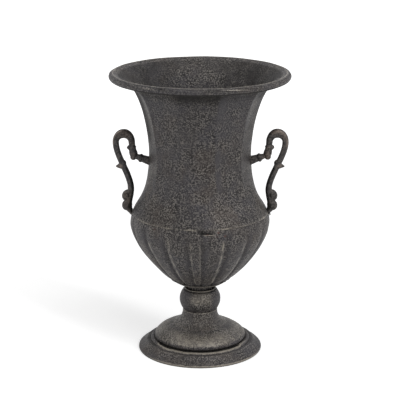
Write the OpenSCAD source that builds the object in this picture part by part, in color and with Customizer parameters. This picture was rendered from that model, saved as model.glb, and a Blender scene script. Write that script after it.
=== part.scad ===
// Pedestal urn of sheet metal with two cast scroll handles.
// Millimetres, +Z up. The origin is on the floor at the centre of the base.
// Angles round the urn are measured from the front, -Y, towards +X.

/* [Sheet] */
// Thickness of the neck and bowl sheet
sheet_t = 1.5; // [1.2:0.1:1.8]
// Thickness of the spun foot, knop and dish
spun_t = 2; // [1.6:0.1:2.4]
// Gap left between pieces that nest in one another
nest_gap = 0.3; // [0.2:0.05:0.4]

/* [Base ring] */
// Outer radius of the ring
ring_r = 99.7; // [96:0.1:104]
// Height of the ledge that the dome stands on
ring_ledge_z = 17; // [15:0.5:19]
// Height of the outer rolled edge
ring_edge_h = 4.2; // [3.5:0.1:5]
// Width of the flat face on the floor
ring_face_w = 6; // [5:0.5:7]
// Radial width of the ledge under the dome
ring_ledge_w = 4; // [3:0.5:5]
// Thickness of the ring's wall
ring_t = 2.6; // [2.2:0.1:3]
// Height of the raised bead above the ledge
ring_bead_h = 2.3; // [1.8:0.1:2.8]
// Radial distance from the dome's edge to the bead's crest
ring_bead_out = 3.7; // [3:0.1:4.5]
// Half angle of the open slot in front
slot_half = 62; // [50:1:70]
// Centre of the slot round the ring
slot_turn = 2; // [-5:1:5]
// Depth of the slot's floor under the ledge
slot_depth = 1.2; // [0.8:0.1:1.6]
// Height of the slot's worn lip over the ledge, where the bead is pressed down
slot_lip = -0.1; // [-0.4:0.1:0.4]

/* [Foot] */
// Radius of the dome's lower edge
dome_r = 73.8; // [70:0.1:76]
// Height of the foot above the ledge
foot_h = 49; // [45:0.5:54]
// Radius of the foot's neck
foot_neck_r = 27.2; // [25.5:0.1:29]
// Height of the flare above the ledge where it turns into the dome
flare_h = 25; // [23:0.5:27]
// Radius where the flare turns into the dome
flare_r = 43; // [40:0.5:46]

/* [Knop] */
// Largest radius of the knop
knop_r = 32.7; // [31:0.1:35]
// Height of the knop
knop_h = 36.5; // [34:0.5:38]
// Height of the widest place above the knop's base
knop_mid_h = 16.6; // [15.5:0.1:17.5]
// Half height of the full ellipse that the knop is cut from
knop_b = 28.6; // [27:0.1:31]
// Height of the rolled lip round the knop's mouth
lip_h = 2.6; // [2.2:0.1:3]

/* [Dish and spigot] */
// Outer radius of the spigot
spigot_r = 20; // [18:0.5:21]
// Wall of the spigot
spigot_wall = 3; // [2.5:0.5:4]
// Gap between the knop's mouth and the dish
dish_gap = 3.5; // [2.5:0.5:4.5]
// Radius of the dish's flat floor
dish_floor_r = 25; // [23:0.5:27]
// Height of the dish from its floor to its edge
dish_h = 12.5; // [11:0.5:14]
// Radius of the dish's edge, under the gadroons
dish_r = 46.5; // [44:0.5:49]
// Height of the dish's collar inside the bowl
dish_collar_h = 9; // [7:0.5:11]

/* [Bowl] */
// Height of the fluted bowl
bowl_h = 111.5; // [104:0.5:118]
// Full gadroons round the bowl, beside the half one at the joint
gadroons = 17; // [15:1:19]
// Angle of the crease to the right of the half gadroon
joint_turn = 3.3; // [0:0.1:6]
// Depth of the creases at the widest place
crease_depth = 3.2; // [2.4:0.1:4]
// Depth of the creases at the two ends
crease_end = 1.3; // [0.8:0.1:1.5]
// Radius of the bowl at its lower edge
bowl_foot_r = 47.5; // [46.5:0.1:48.5]
// Height of the gadroons' rounded lower ends
bowl_hem_h = 5.2; // [4.5:0.1:6]
// How far the rounded lower ends swell out
bowl_hem_out = 3.2; // [2.5:0.1:4]
// How far the side's curve runs out from the lower ends
bowl_low_out = 14.6; // [12:0.2:17]
// How far the side's curve rises from the lower ends
bowl_low_up = 7.6; // [6:0.2:9]
// How far the side's curve swells past the shoulder
bowl_belly_out = 18.4; // [15:0.2:21]
// How far below the shoulder the side's curve swells
bowl_belly_down = 32.8; // [29:0.2:36]
// Height of the bowl's collar inside the neck
bowl_collar_h = 9; // [7:0.5:11]

/* [Neck] */
// Radius of the shoulder at the seam
shoulder_r = 107.5; // [104:0.1:111]
// Height of the neck from the seam to the top of the rim
neck_h = 227; // [215:1:240]
// Number of flat panels round the neck
panels = 10; // [8:1:12]
// Radius at the waist, on a crease
waist_r = 80.1; // [77:0.1:83]
// Height of the waist above the seam
waist_h = 98; // [92:1:104]
// How far the shoulder's curve leans in
shoulder_in = 6.2; // [5:0.2:8]
// How far the shoulder's curve rises
shoulder_up = 20; // [17:0.5:23]
// Length of the straight run below the waist
waist_run = 70; // [64:1:76]
// Length of the straight run above the waist
throat_run = 11.4; // [8:0.2:16]
// Height above the seam at which the panels are fully flat
panel_h = 110; // [90:1:125]

/* [Rim] */
// Outer radius of the rim
rim_r = 143; // [138:0.5:148]
// Radius of the curled bead's section
bead_r = 5.5; // [5:0.1:6]
// Tilt of the sheet where it meets the bead
rim_tilt = 18; // [14:1:22]
// Length over which the flare sweeps out to the bead
rim_sweep = 54; // [50:0.5:58]

/* [Handles] */
// Height of the arm's axis above the seam, at the neck
arm_h = 82.6; // [78:0.2:87]
// Upward tilt of the arm from the neck outwards
arm_tilt = 19; // [16:1:22]
// Radius of the arm
arm_r = 5.2; // [4.8:0.1:5.8]
// Centre of the loop outwards from the shoulder radius
loop_out = 14; // [12:0.2:16]
// Centre of the loop above the seam
loop_h = 112.5; // [108:0.5:117]
// Half width of the loop, to the middle of the rod
loop_rx = 12.7; // [11.5:0.1:14]
// Half height of the loop, to the middle of the rod
loop_rz = 14; // [12.5:0.1:15.5]
// Half thickness of the rod
rod_a = 4.2; // [3.9:0.1:4.6]
// Half depth of the rod, front to back
rod_b = 4.6; // [4.2:0.1:5]
// Half thickness of the loop at its top
loop_top_a = 6.7; // [6:0.1:7.4]
// Height above the seam at which the rod comes nearest the body
rod_low_h = 36; // [33:0.5:39]
// Distance of the rod outwards from the shoulder radius at that height
rod_low_out = 2.8; // [2.2:0.1:3.4]
// Length of the S curve's two straight tangents
rod_tangent = 24; // [20:0.5:28]
// Radius of the two round buds on the rod
bud_r = 5.7; // [5.2:0.1:6.2]
// Spacing of the two buds
bud_pitch = 16.2; // [15.4:0.1:17]
// Height of the lower bud's centre above the seam
bud_low_h = 9.6; // [9:0.1:10.2]
// Distance of the buds' centres outwards from the shoulder radius
bud_out = 10.8; // [10:0.1:11.6]
// Length of the head from the loop's widest place down to its chin
head_len = 27.5; // [26:0.5:29]
// Height of the thorn above the seam
thorn_h = 75.5; // [72:0.5:78]
// Length of the thorn
thorn_l = 7.6; // [6.5:0.1:8.5]
// How far the rod's foot runs down over the bowl, below the seam
rod_foot_down = 6.5; // [6:0.1:7]
// How far the rod's foot swells out as it comes down, from the shoulder radius
rod_foot_out = 13.5; // [12.5:0.1:14.5]

/* [Fasteners] */
// Radius of the stem bolt
bolt_r = 4; // [3.5:0.5:4.5]
// Radius of the washers on the stem bolt
washer_r = 14; // [12:0.5:15]
// Thickness of the washers on the stem bolt
washer_t = 2; // [1.5:0.5:2.5]
// Thickness of the rubber seal in the bowl
seal_t = 1.5; // [1:0.5:2]
// Width of the bolt's head and nut across their flats
hex_af = 13; // [12:0.5:14]
// Height of the bolt's head
head_h = 5.5; // [5:0.5:6.5]
// Height of the nut
nut_h = 6.5; // [6:0.5:8]
// Radius of the handle screws
screw_r = 2; // [1.8:0.1:2.2]
// Length of the upper screws inside the handles' arms
arm_bite = 8; // [7:0.5:8.5]
// Length of the lower screws inside the handles' feet
foot_bite = 4.5; // [4:0.1:5]
// Radius of the screws' washers
screw_washer_r = 5; // [4.5:0.1:5.5]
// Thickness of the screws' washers
screw_washer_t = 1; // [0.8:0.1:1.2]
// Height of the screws' heads
screw_head_h = 2.6; // [2.2:0.1:3]
// How far below the seam the lower screws pass through the bowl
foot_screw_down = 4.6; // [4.3:0.1:4.9]
// Radial clearance of the bolt and the screws in plain holes
hole_gap = 0.35; // [0.2:0.05:0.5]

/* [Hidden] */
// Heights of the joints up the stem
foot_top = ring_ledge_z + foot_h;
knop_top = foot_top + knop_h;
dish_z = knop_top + dish_gap;
dish_edge_z = dish_z + dish_h;
seam_z = dish_edge_z + bowl_h;
rim_z = seam_z + neck_h;
waist_z = seam_z + waist_h;

// Directions round the urn at which the neck's wall is sampled
per_panel = 6;
neck_steps = panels * per_panel;
neck_angles = [for (j = [0 : neck_steps - 1]) (j - per_panel / 2) * 360 / neck_steps];

// Directions at which the bowl's wall is sampled, each with its place across a gadroon, -1 to 1
per_gadroon = 6;
per_half = 3;
gadroon_turn = 360 / (gadroons + 0.5);
bowl_steps = [
    for (k = [0 : gadroons - 1], i = [0 : per_gadroon - 1])
        [joint_turn + (k + i / per_gadroon) * gadroon_turn, 2 * i / per_gadroon - 1],
    for (i = [0 : per_half - 1])
        [joint_turn - gadroon_turn / 2 + i / per_half * gadroon_turn / 2, 2 * i / per_half - 1]
];

// Cubic curve through four handles, its direction, and its parameter at a height
function bez(p, t) = pow(1 - t, 3) * p[0] + 3 * pow(1 - t, 2) * t * p[1]
    + 3 * (1 - t) * t * t * p[2] + t * t * t * p[3];
function bez_dir(p, t) = let (d = pow(1 - t, 2) * (p[1] - p[0]) + 2 * (1 - t) * t * (p[2] - p[1])
    + t * t * (p[3] - p[2])) d / norm(d);
function bez_at(p, z, a = 0, b = 1, n = 24) = let (m = (a + b) / 2)
    n == 0 ? m : bez(p, m)[1] < z ? bez_at(p, z, m, b, n - 1) : bez_at(p, z, a, m, n - 1);
// The point at a distance beside the curve, to its right when it is followed upwards
function beside(p, t, d) = let (v = bez_dir(p, t)) bez(p, t) + d * [v[1], -v[0]];
// The point at shares of the way across and up from one point to another
function between(a, b, across, up) = [a[0] + across * (b[0] - a[0]), a[1] + up * (b[1] - a[1])];
function smooth(x) = let (c = min(1, max(0, x))) c * c * (3 - 2 * c);

// Outer profile of the neck, in two curves that meet at the waist
rim_c = [rim_r - bead_r, rim_z - bead_r];
curl_start = 90 + rim_tilt;
curl_end = -190;
function on_curl(r, a) = rim_c + r * [cos(a), sin(a)];
sweep_end = on_curl(bead_r - sheet_t, curl_start);
neck_low = [
    [shoulder_r, seam_z],
    [shoulder_r - shoulder_in, seam_z + shoulder_up],
    [waist_r, waist_z - waist_run],
    [waist_r, waist_z]
];
neck_high = [
    [waist_r, waist_z],
    [waist_r, waist_z + throat_run],
    sweep_end - rim_sweep * [cos(rim_tilt), sin(rim_tilt)],
    sweep_end
];
low_steps = 10;
high_steps = 11;
curl_steps = 9;
// How flat the panels are on the two curves, 0 round to 1 flat
function low_flat(t) = smooth((bez(neck_low, t)[1] - seam_z) / panel_h);
function high_flat(t) = low_flat(1) * (1 - smooth((t - 0.7) / 0.3))
    + (1 - low_flat(1)) * smooth(t / 0.3) * (1 - smooth((t - 0.7) / 0.3));
// Sections of the wall as [radius, height, flatness], a distance beside the outer profile
function neck_side(d) = [
    for (i = [0 : low_steps - 1]) let (t = i / low_steps)
        i == 0 ? [shoulder_r + d, seam_z, 0] : [each beside(neck_low, t, d), low_flat(t)],
    for (i = [0 : high_steps]) let (t = i / high_steps) [each beside(neck_high, t, d), high_flat(t)]
];
// Radius of a section in a direction: the flat of a panel and the round, mixed
function panel_r(s, a) = let (
    pitch = 360 / panels,
    off = abs(a - pitch * round(a / pitch))
) s[0] * (1 - s[2] + s[2] * cos(pitch / 2) / cos(off));
function neck_ring(s) = [for (a = neck_angles) let (r = panel_r(s, a)) [r * sin(a), -r * cos(a), s[1]]];

// Outer profile of the bowl, from the gadroons' lower ends to the shoulder
hem_z = dish_edge_z + nest_gap;
bowl_top_z = seam_z - nest_gap;
bowl_side = [
    [bowl_foot_r + bowl_hem_out, hem_z + bowl_hem_h],
    [bowl_foot_r + bowl_hem_out + bowl_low_out, hem_z + bowl_hem_h + bowl_low_up],
    [shoulder_r - nest_gap + bowl_belly_out, bowl_top_z - bowl_belly_down],
    [shoulder_r - nest_gap, bowl_top_z]
];
side_steps = 12;
collar_steps = 2;
// The collar follows the neck's curve as far up as this parameter
collar_t = bowl_collar_h / (3 * shoulder_up);
function crease(t) = crease_end + (crease_depth - crease_end) * sin(180 * t);
// Height and radius of the rounded lower ends, halfway up
hem_mid = [bowl_foot_r + 0.38 * bowl_hem_out, hem_z + 0.4 * bowl_hem_h];
bowl_outside = [
    [bowl_foot_r, hem_z, crease_end],
    [each hem_mid, crease_end],
    for (i = [0 : side_steps]) let (t = i / side_steps) [each bez(bowl_side, t), crease(t)],
    [shoulder_r - sheet_t - nest_gap, bowl_top_z, 0],
    for (i = [1 : collar_steps]) [each beside(neck_low, i / collar_steps * collar_t, -sheet_t - nest_gap), 0]
];
bowl_inside = [
    for (i = [collar_steps : -1 : 1])
        [each beside(neck_low, i / collar_steps * collar_t, -2 * sheet_t - nest_gap), 0],
    [shoulder_r - 2 * sheet_t - nest_gap, bowl_top_z - sheet_t, 0],
    for (i = [side_steps - 1 : -1 : 0]) let (t = i / side_steps)
        [each beside(bowl_side, t, -sheet_t), crease(t)],
    [each hem_mid + sheet_t * [-0.86, 0.5], crease_end],
    [bowl_foot_r - sheet_t, hem_z, crease_end]
];
function gadroon_r(s, u) = s[0] - s[2] * u * u;
function bowl_ring(s) = [
    for (b = bowl_steps) let (r = gadroon_r(s, b[1])) [r * sin(b[0]), -r * cos(b[0]), s[1]]
];
// Place across its gadroon of a direction round the bowl
function across(a) = let (k = (a - joint_turn + 360) % 360 / gadroon_turn)
    k < gadroons ? 2 * (k - floor(k)) - 1 : 4 * (k - gadroons) - 1;

// A skin through rings of points, closed into a loop of rings or by a cap at each end
module skin(rings, loop) {
    m = len(rings);
    n = len(rings[0]);
    last = loop ? m - 1 : m - 2;
    sides = [
        for (i = [0 : last], j = [0 : n - 1])
            let (
                a = i * n + j,
                b = i * n + (j + 1) % n,
                c = (i + 1) % m * n + j,
                d = (i + 1) % m * n + (j + 1) % n
            ) each [[a, c, d], [a, d, b]]
    ];
    caps = loop ? [] : [[for (j = [0 : n - 1]) j], [for (j = [n - 1 : -1 : 0]) (m - 1) * n + j]];
    polyhedron(points = [for (r = rings) each r], faces = concat(sides, caps), convexity = 6);
}

module turned(points) {
    rotate_extrude($fn = 96) polygon(points);
}

// Places things on both handles' sides: +X and -X
module both_sides() {
    children();
    mirror([1, 0, 0]) children();
}

// The neck

// Where the arm and its screw meet the neck, on the outer profile
arm_t = bez_at(neck_low, seam_z + arm_h);
arm_root = bez(neck_low, arm_t);
arm_wall_tilt = let (v = bez_dir(neck_low, arm_t)) atan2(-v[0], v[1]);
arm_screw_up = arm_bite / 2 * tan(arm_tilt - arm_wall_tilt);
// How far back a washer lies in the corner between two panels
corner_back = screw_washer_r * tan(180 / panels) * low_flat(arm_t) + nest_gap;

// Where the lower screw meets the bowl, under the seam
foot_t = bez_at(bowl_side, bowl_top_z - foot_screw_down, 0.5, 1);
foot_root = bez(bowl_side, foot_t);
foot_wall_tilt = let (v = bez_dir(bowl_side, foot_t)) atan2(-v[0], v[1]);

// Turns a thing built along +Z to point outwards through the wall at a point of its profile
module at_wall(p, tilt) {
    translate([p[0], 0, p[1]]) rotate([0, 90 - tilt, 0]) children();
}

module arm_screw_place() {
    at_wall(arm_root + arm_screw_up * [0, 1], arm_wall_tilt) children();
}

module foot_screw_place(side) {
    sink = crease(foot_t) * pow(across(side * 90), 2);
    mirror([side < 0 ? 1 : 0, 0, 0])
        at_wall(foot_root - [sink, 0], foot_wall_tilt) children();
}

// The neck is soldered edge to edge from three rings, joined at the waist and under the rim's flare
neck_outside = neck_side(0);
neck_inside = neck_side(-sheet_t);
waist_step = low_steps;
flare_step = low_steps + 8;
function outside_between(a, b) = [for (i = [a : b]) neck_outside[i]];
function inside_between(a, b) = [for (i = [b : -1 : a]) neck_inside[i]];

module neck_band(first, last) {
    skin([for (s = concat(outside_between(first, last), inside_between(first, last))) neck_ring(s)], true);
}

module neck_lower() color([0.27, 0.26, 0.25])
    difference() {
        neck_band(0, waist_step);
        both_sides() arm_screw_place()
            translate([0, 0, -4 * sheet_t]) cylinder(r = screw_r + hole_gap, h = 8 * sheet_t, $fn = 32);
    }

module neck_upper() color([0.27, 0.26, 0.25])
    neck_band(waist_step, flare_step);

module rim_flare() color([0.28, 0.27, 0.26]) {
    last = len(neck_outside) - 1;
    curl = [for (i = [1 : curl_steps]) i / curl_steps * (curl_end - curl_start) + curl_start];
    sections = concat(
        outside_between(flare_step, last),
        [for (a = curl) [each on_curl(bead_r - sheet_t, a), 0]],
        [for (i = [curl_steps - 1 : -1 : 0]) [each on_curl(bead_r, curl[i]), 0]],
        inside_between(flare_step, last)
    );
    skin([for (s = sections) neck_ring(s)], true);
}

module rim_wire() color([0.45, 0.44, 0.42])
    rotate_extrude($fn = 96) translate(rim_c) circle(r = bead_r - sheet_t - 0.5, $fn = 32);

// The bowl

module bowl_shell() color([0.25, 0.24, 0.23])
    difference() {
        skin([for (s = concat(bowl_outside, bowl_inside)) bowl_ring(s)], true);
        for (side = [-1, 1])
            foot_screw_place(side)
                translate([0, 0, -3 * sheet_t]) cylinder(r = screw_r + hole_gap, h = 6 * sheet_t, $fn = 32);
    }

// The dish's side, from the edge of its floor to its own edge
dish_floor_edge = [dish_floor_r, dish_z];
dish_edge = [dish_r, dish_edge_z];
dish_side = [
    dish_floor_edge,
    between(dish_floor_edge, dish_edge, 0.23, 0.34),
    between(dish_floor_edge, dish_edge, 0.7, 0.68),
    dish_edge
];
dish_steps = 6;
// The dish's collar lies inside the creases of the bowl
collar_low = [bowl_foot_r - sheet_t - crease_end - nest_gap, dish_edge_z];
// Inside, the collar starts above the ledge between it and the dish's edge, or under a wide ledge
ledge_w = dish_r - collar_low[0];
collar_low_inside = collar_low + [-spun_t, 1.5 * spun_t - max(0, ledge_w - spun_t)];
function dish_collar(t) = beside(bowl_side, t, -sheet_t) - [crease(t) + nest_gap, 0];
dish_collar_t = bez_at(bowl_side, dish_edge_z + dish_collar_h);

module bowl_dish() color([0.24, 0.24, 0.23])
    turned([
        [bolt_r + hole_gap, dish_z],
        for (i = [0 : dish_steps]) bez(dish_side, i / dish_steps),
        collar_low,
        hem_mid + [-sheet_t - crease_end - nest_gap, 0.5 * sheet_t],
        dish_collar(0),
        dish_collar(dish_collar_t),
        dish_collar(dish_collar_t) + spun_t * [-0.62, 0.78],
        dish_collar(0) + spun_t * [-0.62, 0.78],
        collar_low_inside,
        for (i = [dish_steps - 1 : -1 : 0]) beside(dish_side, i / dish_steps, -spun_t),
        [dish_floor_r - spun_t, dish_z + spun_t],
        [bolt_r + hole_gap, dish_z + spun_t]
    ]);

module bowl_spigot() color([0.3, 0.3, 0.29])
    translate([0, 0, foot_top + spun_t])
        difference() {
            cylinder(r = spigot_r, h = dish_z - foot_top - spun_t, $fn = 96);
            translate([0, 0, -1])
                cylinder(r = spigot_r - spigot_wall, h = dish_z - foot_top, $fn = 96);
        }

// The knop and foot

knop_mid_z = foot_top + knop_mid_h;
function knop_at(z, inset) = (knop_r - inset) * sqrt(1 - pow((z - knop_mid_z) / (knop_b - inset), 2));
// The mouth's rolled lip, over a groove
lip_z = knop_top - lip_h;
knop_steps = 14;

module knop() color([0.3, 0.29, 0.27])
    turned([
        [bolt_r + hole_gap, foot_top],
        [foot_neck_r - 0.9, foot_top],
        [knop_at(foot_top, 0) + 0.2, foot_top + 0.6],
        for (i = [1 : knop_steps]) let (z = foot_top + i / knop_steps * (lip_z - 1 - foot_top))
            [knop_at(z, 0), z],
        [knop_at(lip_z, 0) - 0.9, lip_z - 0.2],
        [knop_at(lip_z, 0) - 0.4, lip_z + 0.2 * lip_h],
        [knop_at(lip_z, 0) - 0.7, lip_z + 0.65 * lip_h],
        [knop_at(lip_z, 0) - 1.8, knop_top],
        [knop_at(lip_z, 0) - 3.2, knop_top],
        [knop_at(lip_z, spun_t) - 1, lip_z + 1],
        for (i = [knop_steps - 1 : -1 : 0])
            let (z = foot_top + spun_t + i / knop_steps * (lip_z - foot_top - spun_t))
                [knop_at(z, spun_t), z],
        [bolt_r + hole_gap, foot_top + spun_t]
    ]);

foot_neck = [foot_neck_r, foot_top];
flare_end = [flare_r, ring_ledge_z + flare_h];
flare_side = [
    foot_neck,
    between(foot_neck, flare_end, 0, 0.46),
    between(foot_neck, flare_end, 0.3, 0.79),
    flare_end
];
// Height of the dome's edge, which stands off the ledge on a rolled foot
dome_edge_z = ring_ledge_z + 1.75 * spun_t;
dome_edge = [dome_r, dome_edge_z];
dome_side = [
    flare_end,
    between(flare_end, dome_edge, 0.42, 0.29),
    between(flare_end, dome_edge, 1.055, 0.65),
    dome_edge
];
flare_steps = 8;
dome_steps = 10;
dome_seat_r = dome_r - 1.8;

// The flare and the dome meet edge to edge on the wall's own thickness
flare_end_inside = beside(dome_side, 0, spun_t);

module foot_flare() color([0.29, 0.28, 0.26])
    turned([
        [bolt_r + hole_gap, foot_top],
        [foot_neck_r - 0.9, foot_top],
        for (i = [1 : flare_steps]) bez(flare_side, i / flare_steps),
        flare_end_inside,
        for (i = [flare_steps - 1 : -1 : 1]) beside(flare_side, i / flare_steps, spun_t),
        [foot_neck_r - spun_t, foot_top - spun_t],
        [bolt_r + hole_gap, foot_top - spun_t]
    ]);

module foot_dome() color([0.29, 0.28, 0.26])
    turned([
        for (i = [0 : dome_steps]) bez(dome_side, i / dome_steps),
        [dome_r - 0.3, dome_edge_z - 1.2],
        [dome_r - 1.2, dome_edge_z - 2],
        [dome_seat_r, ring_ledge_z],
        [dome_seat_r - 2, ring_ledge_z],
        [dome_seat_r - 2, dome_edge_z],
        for (i = [dome_steps - 1 : -1 : 1]) beside(dome_side, i / dome_steps, spun_t),
        flare_end_inside
    ]);

// The base ring

bead_crest = [dome_r + ring_bead_out, ring_ledge_z + ring_bead_h];
ring_dip = bead_crest + ring_bead_out * [1.03, -1.05];
ring_edge = [ring_r - 0.3 * ring_edge_h, ring_edge_h];
ring_slope = [
    ring_dip,
    between(ring_dip, ring_edge, 0.33, 0.02),
    between(ring_dip, ring_edge, 0.51, 0.57),
    ring_edge
];
ring_steps = 8;
ring_in_r = dome_seat_r - 2 - ring_ledge_w / 2;
ring_face_r = ring_r - 0.5 - ring_face_w;

module base_ring() color([0.28, 0.27, 0.26])
    difference() {
        turned([
            [ring_in_r, ring_ledge_z],
            [dome_seat_r + 0.4, ring_ledge_z],
            [dome_r + 1, ring_ledge_z + 0.6],
            bead_crest - [1.2, 0.5],
            bead_crest,
            bead_crest + [1.3, -0.6],
            for (i = [0 : ring_steps]) bez(ring_slope, i / ring_steps),
            [ring_r - 0.3, 0.7 * ring_edge_h],
            [ring_r, 0.35 * ring_edge_h],
            [ring_r - 0.5, 0],
            [ring_face_r, 0],
            [ring_face_r, 0.4 * ring_edge_h],
            for (i = [ring_steps - 2 : -1 : 1]) beside(ring_slope, i / ring_steps, ring_t),
            [bead_crest[0], ring_ledge_z - ring_t],
            [ring_in_r, ring_ledge_z - ring_t]
        ]);
        rotate([0, 0, -90 + slot_turn - slot_half])
            rotate_extrude(angle = 2 * slot_half, $fn = 96)
                polygon([
                    [dome_r - 0.6, ring_ledge_z - slot_depth],
                    [bead_crest[0] - 1.2, ring_ledge_z - slot_depth],
                    [bead_crest[0] - 0.6, ring_ledge_z + slot_lip],
                    [bead_crest[0] + 3, ring_ledge_z + slot_lip],
                    [bead_crest[0] + 3, dome_edge_z + 1],
                    [dome_r - 0.6, dome_edge_z + 1]
                ]);
    }

// The handles, cast in one piece each, shown here on the +X side

loop_c = [shoulder_r + loop_out, seam_z + loop_h];
rod_low = [shoulder_r + rod_low_out, seam_z + rod_low_h];
// The foot of the rod, which tapers out on the bowl under the seam
rod_tip_a = 1.8;
rod_tip = [shoulder_r + rod_tip_a, seam_z - rod_foot_down];
rod_down = [
    rod_low,
    rod_low - [0, rod_low_h / 3],
    [shoulder_r + rod_foot_out, seam_z + rod_low_h / 4],
    rod_tip
];
rod_s = [
    loop_c + [loop_rx, 0],
    loop_c + [loop_rx, -rod_tangent],
    rod_low + [0, rod_tangent],
    rod_low
];
// The head at the loop's inner end, down to its chin
head_top = loop_c - [loop_rx, 0];
head_chin = head_top - [2.2, head_len];
head_steps = 7;
loop_steps = 14;
s_steps = 12;
down_steps = 10;
function bulge(t, a, b, c) = pow(1 - t, 2) * a + 2 * (1 - t) * t * b + t * t * c;
// Stations along the rod as [[across, up], half thickness, half depth]
stations = [
    for (i = [head_steps : -1 : 1]) let (t = i / head_steps)
        [
            head_top + t * (head_chin - head_top),
            bulge(t, rod_a + 0.5, rod_a + 5, 2.4),
            bulge(t, rod_b, rod_b + 3.6, 2.6)
        ],
    for (i = [0 : loop_steps]) let (a = 180 - 180 * i / loop_steps)
        [
            loop_c + [loop_rx * cos(a), loop_rz * sin(a)],
            rod_a + (loop_top_a - rod_a) * pow(sin(a), 2) + 0.5 * i / loop_steps * (i / loop_steps - 1),
            rod_b + 1 * pow(sin(a), 2)
        ],
    for (i = [1 : s_steps]) let (t = i / s_steps) [bez(rod_s, t), bulge(t, rod_a, rod_a - 0.6, rod_a), rod_b],
    for (i = [1 : down_steps]) let (t = i / down_steps)
        [
            bez(rod_down, t),
            bulge(t, rod_a, rod_a + 2.6, rod_tip_a),
            bulge(t, rod_b, rod_b + 1.6, rod_tip_a + 0.2)
        ]
];
rod_sides = 10;
function station_dir(i) = let (
    a = stations[max(0, i - 1)][0],
    b = stations[min(len(stations) - 1, i + 1)][0]
) (b - a) / norm(b - a);
rod_rings = [
    for (i = [0 : len(stations) - 1])
        let (s = stations[i], v = station_dir(i))
        [
            for (k = [0 : rod_sides - 1])
                let (q = k * 360 / rod_sides, side = s[1] * cos(q))
                [s[0][0] + side * v[1], s[2] * sin(q), s[0][1] - side * v[0]]
        ]
];
// The arm ends inside the head, a little above its chin
arm_end = head_chin + [-0.4, 3.5];
// A raised band on the arm, just short of the head
band_start = 12.6;
band_end = 15.2;
function on_arm(d) = arm_root + d * [1, tan(arm_tilt)];
// Wedge of the urn's outer skin near a handle, grown by the gap that is left to it
near_handle = [for (a = neck_angles) if (abs(a - 90) < 30) a];
function wedge_ring(s) = concat(
    [for (a = near_handle) let (r = panel_r(s, a)) [r * sin(a), -r * cos(a), s[1]]],
    [[0.4 * s[0], 0, s[1]]]
);
envelope = [
    for (i = [7 : 10]) [each beside(bowl_side, i / 10, nest_gap), 0],
    for (i = [0 : low_steps]) [each beside(neck_low, i / low_steps, nest_gap), low_flat(i / low_steps)]
];

module cone_between(a, b, ra, rb) {
    v = b - a;
    translate([a[0], 0, a[1]])
        rotate([0, atan2(v[0], v[1]), 0]) cylinder(r1 = ra, r2 = rb, h = norm(v), $fn = 32);
}

// A screw's bore, a little deeper than the screw and open through the skin behind it
module blind_bore(bite) {
    translate([0, 0, -arm_r]) cylinder(r = screw_r, h = arm_r + bite + 0.5, $fn = 32);
}

module handle() {
    thorn = [shoulder_r + loop_out + 4.5, seam_z + thorn_h];
    difference() {
        union() {
            skin(rod_rings, false);
            for (i = [0, 1])
                translate([shoulder_r + bud_out, 0, seam_z + bud_low_h + i * bud_pitch])
                    sphere(r = bud_r, $fn = 48);
            cone_between(thorn, thorn + thorn_l * [1, -0.2], 0.8 * rod_a, 0.7);
            cone_between(head_top + [0.5, -8], head_top + [8, -6.6], 2.6, 0.8);
            cone_between(on_arm(-3), arm_end, arm_r, arm_r);
            cone_between(on_arm(band_start), on_arm(band_end), arm_r + 0.8, arm_r + 0.8);
        }
        skin([for (s = envelope) wedge_ring(s)], false);
        arm_screw_place() blind_bore(arm_bite);
    }
}

module handle_right() color([0.33, 0.28, 0.25])
    difference() {
        handle();
        foot_screw_place(1) blind_bore(foot_bite);
    }

module handle_left() color([0.32, 0.29, 0.26])
    difference() {
        mirror([1, 0, 0]) handle();
        foot_screw_place(-1) blind_bore(foot_bite);
    }

// Fasteners down the stem

seal_z = dish_z + spun_t;
washer_z = seal_z + seal_t;
head_z = washer_z + washer_t;
nut_top = foot_top - spun_t - washer_t;
bolt_end = nut_top - nut_h - 2;

module hexagon(h) {
    cylinder(r = hex_af / 2 / cos(30), h = h, $fn = 6);
}

module stem_bolt() color([0.5, 0.49, 0.46]) {
    translate([0, 0, head_z]) hexagon(head_h);
    translate([0, 0, bolt_end]) cylinder(r = bolt_r, h = head_z - bolt_end + 1, $fn = 48);
}

module flat_ring(r, t) {
    difference() {
        cylinder(r = r, h = t, $fn = 64);
        translate([0, 0, -1]) cylinder(r = bolt_r + hole_gap, h = t + 2, $fn = 48);
    }
}

module bowl_washer() color([0.55, 0.54, 0.5])
    translate([0, 0, washer_z]) flat_ring(washer_r, washer_t);

module bowl_seal() color([0.12, 0.12, 0.12])
    translate([0, 0, seal_z]) flat_ring(washer_r + 1, seal_t);

module foot_washer() color([0.55, 0.54, 0.5])
    translate([0, 0, nut_top]) flat_ring(washer_r, washer_t);

module stem_nut() color([0.5, 0.49, 0.46])
    translate([0, 0, nut_top - nut_h])
        difference() {
            hexagon(nut_h);
            translate([0, 0, -1]) cylinder(r = bolt_r + 2.5 * thread_gap, h = nut_h + 2, $fn = 48);
        }

// Fasteners of the handles, built with their axis along +Z, the shank pointing outwards

// Distance from the outer skin back to the washer's outer face
arm_back = sheet_t + corner_back;
foot_back = 2 * sheet_t + 2 * nest_gap;
// How much thinner the screws are than their bores in the handles
thread_gap = 0.02;

module pan_screw(back, bite) {
    shank = back + screw_washer_t + bite;
    translate([0, 0, bite - shank]) {
        cylinder(r = screw_r - thread_gap, h = shank, $fn = 32);
        difference() {
            translate([0, 0, -screw_head_h])
                rotate_extrude($fn = 48)
                    polygon([
                        [0, 0],
                        [1.6 * screw_r, 0],
                        [1.95 * screw_r, 0.35 * screw_head_h],
                        [1.95 * screw_r, screw_head_h],
                        [0, screw_head_h]
                    ]);
            for (q = [0, 90])
                rotate([0, 0, q])
                    translate([-screw_r / 4, -screw_r, -screw_head_h - 1])
                        cube([screw_r / 2, 2 * screw_r, 1 + 0.45 * screw_head_h]);
        }
    }
}

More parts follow.
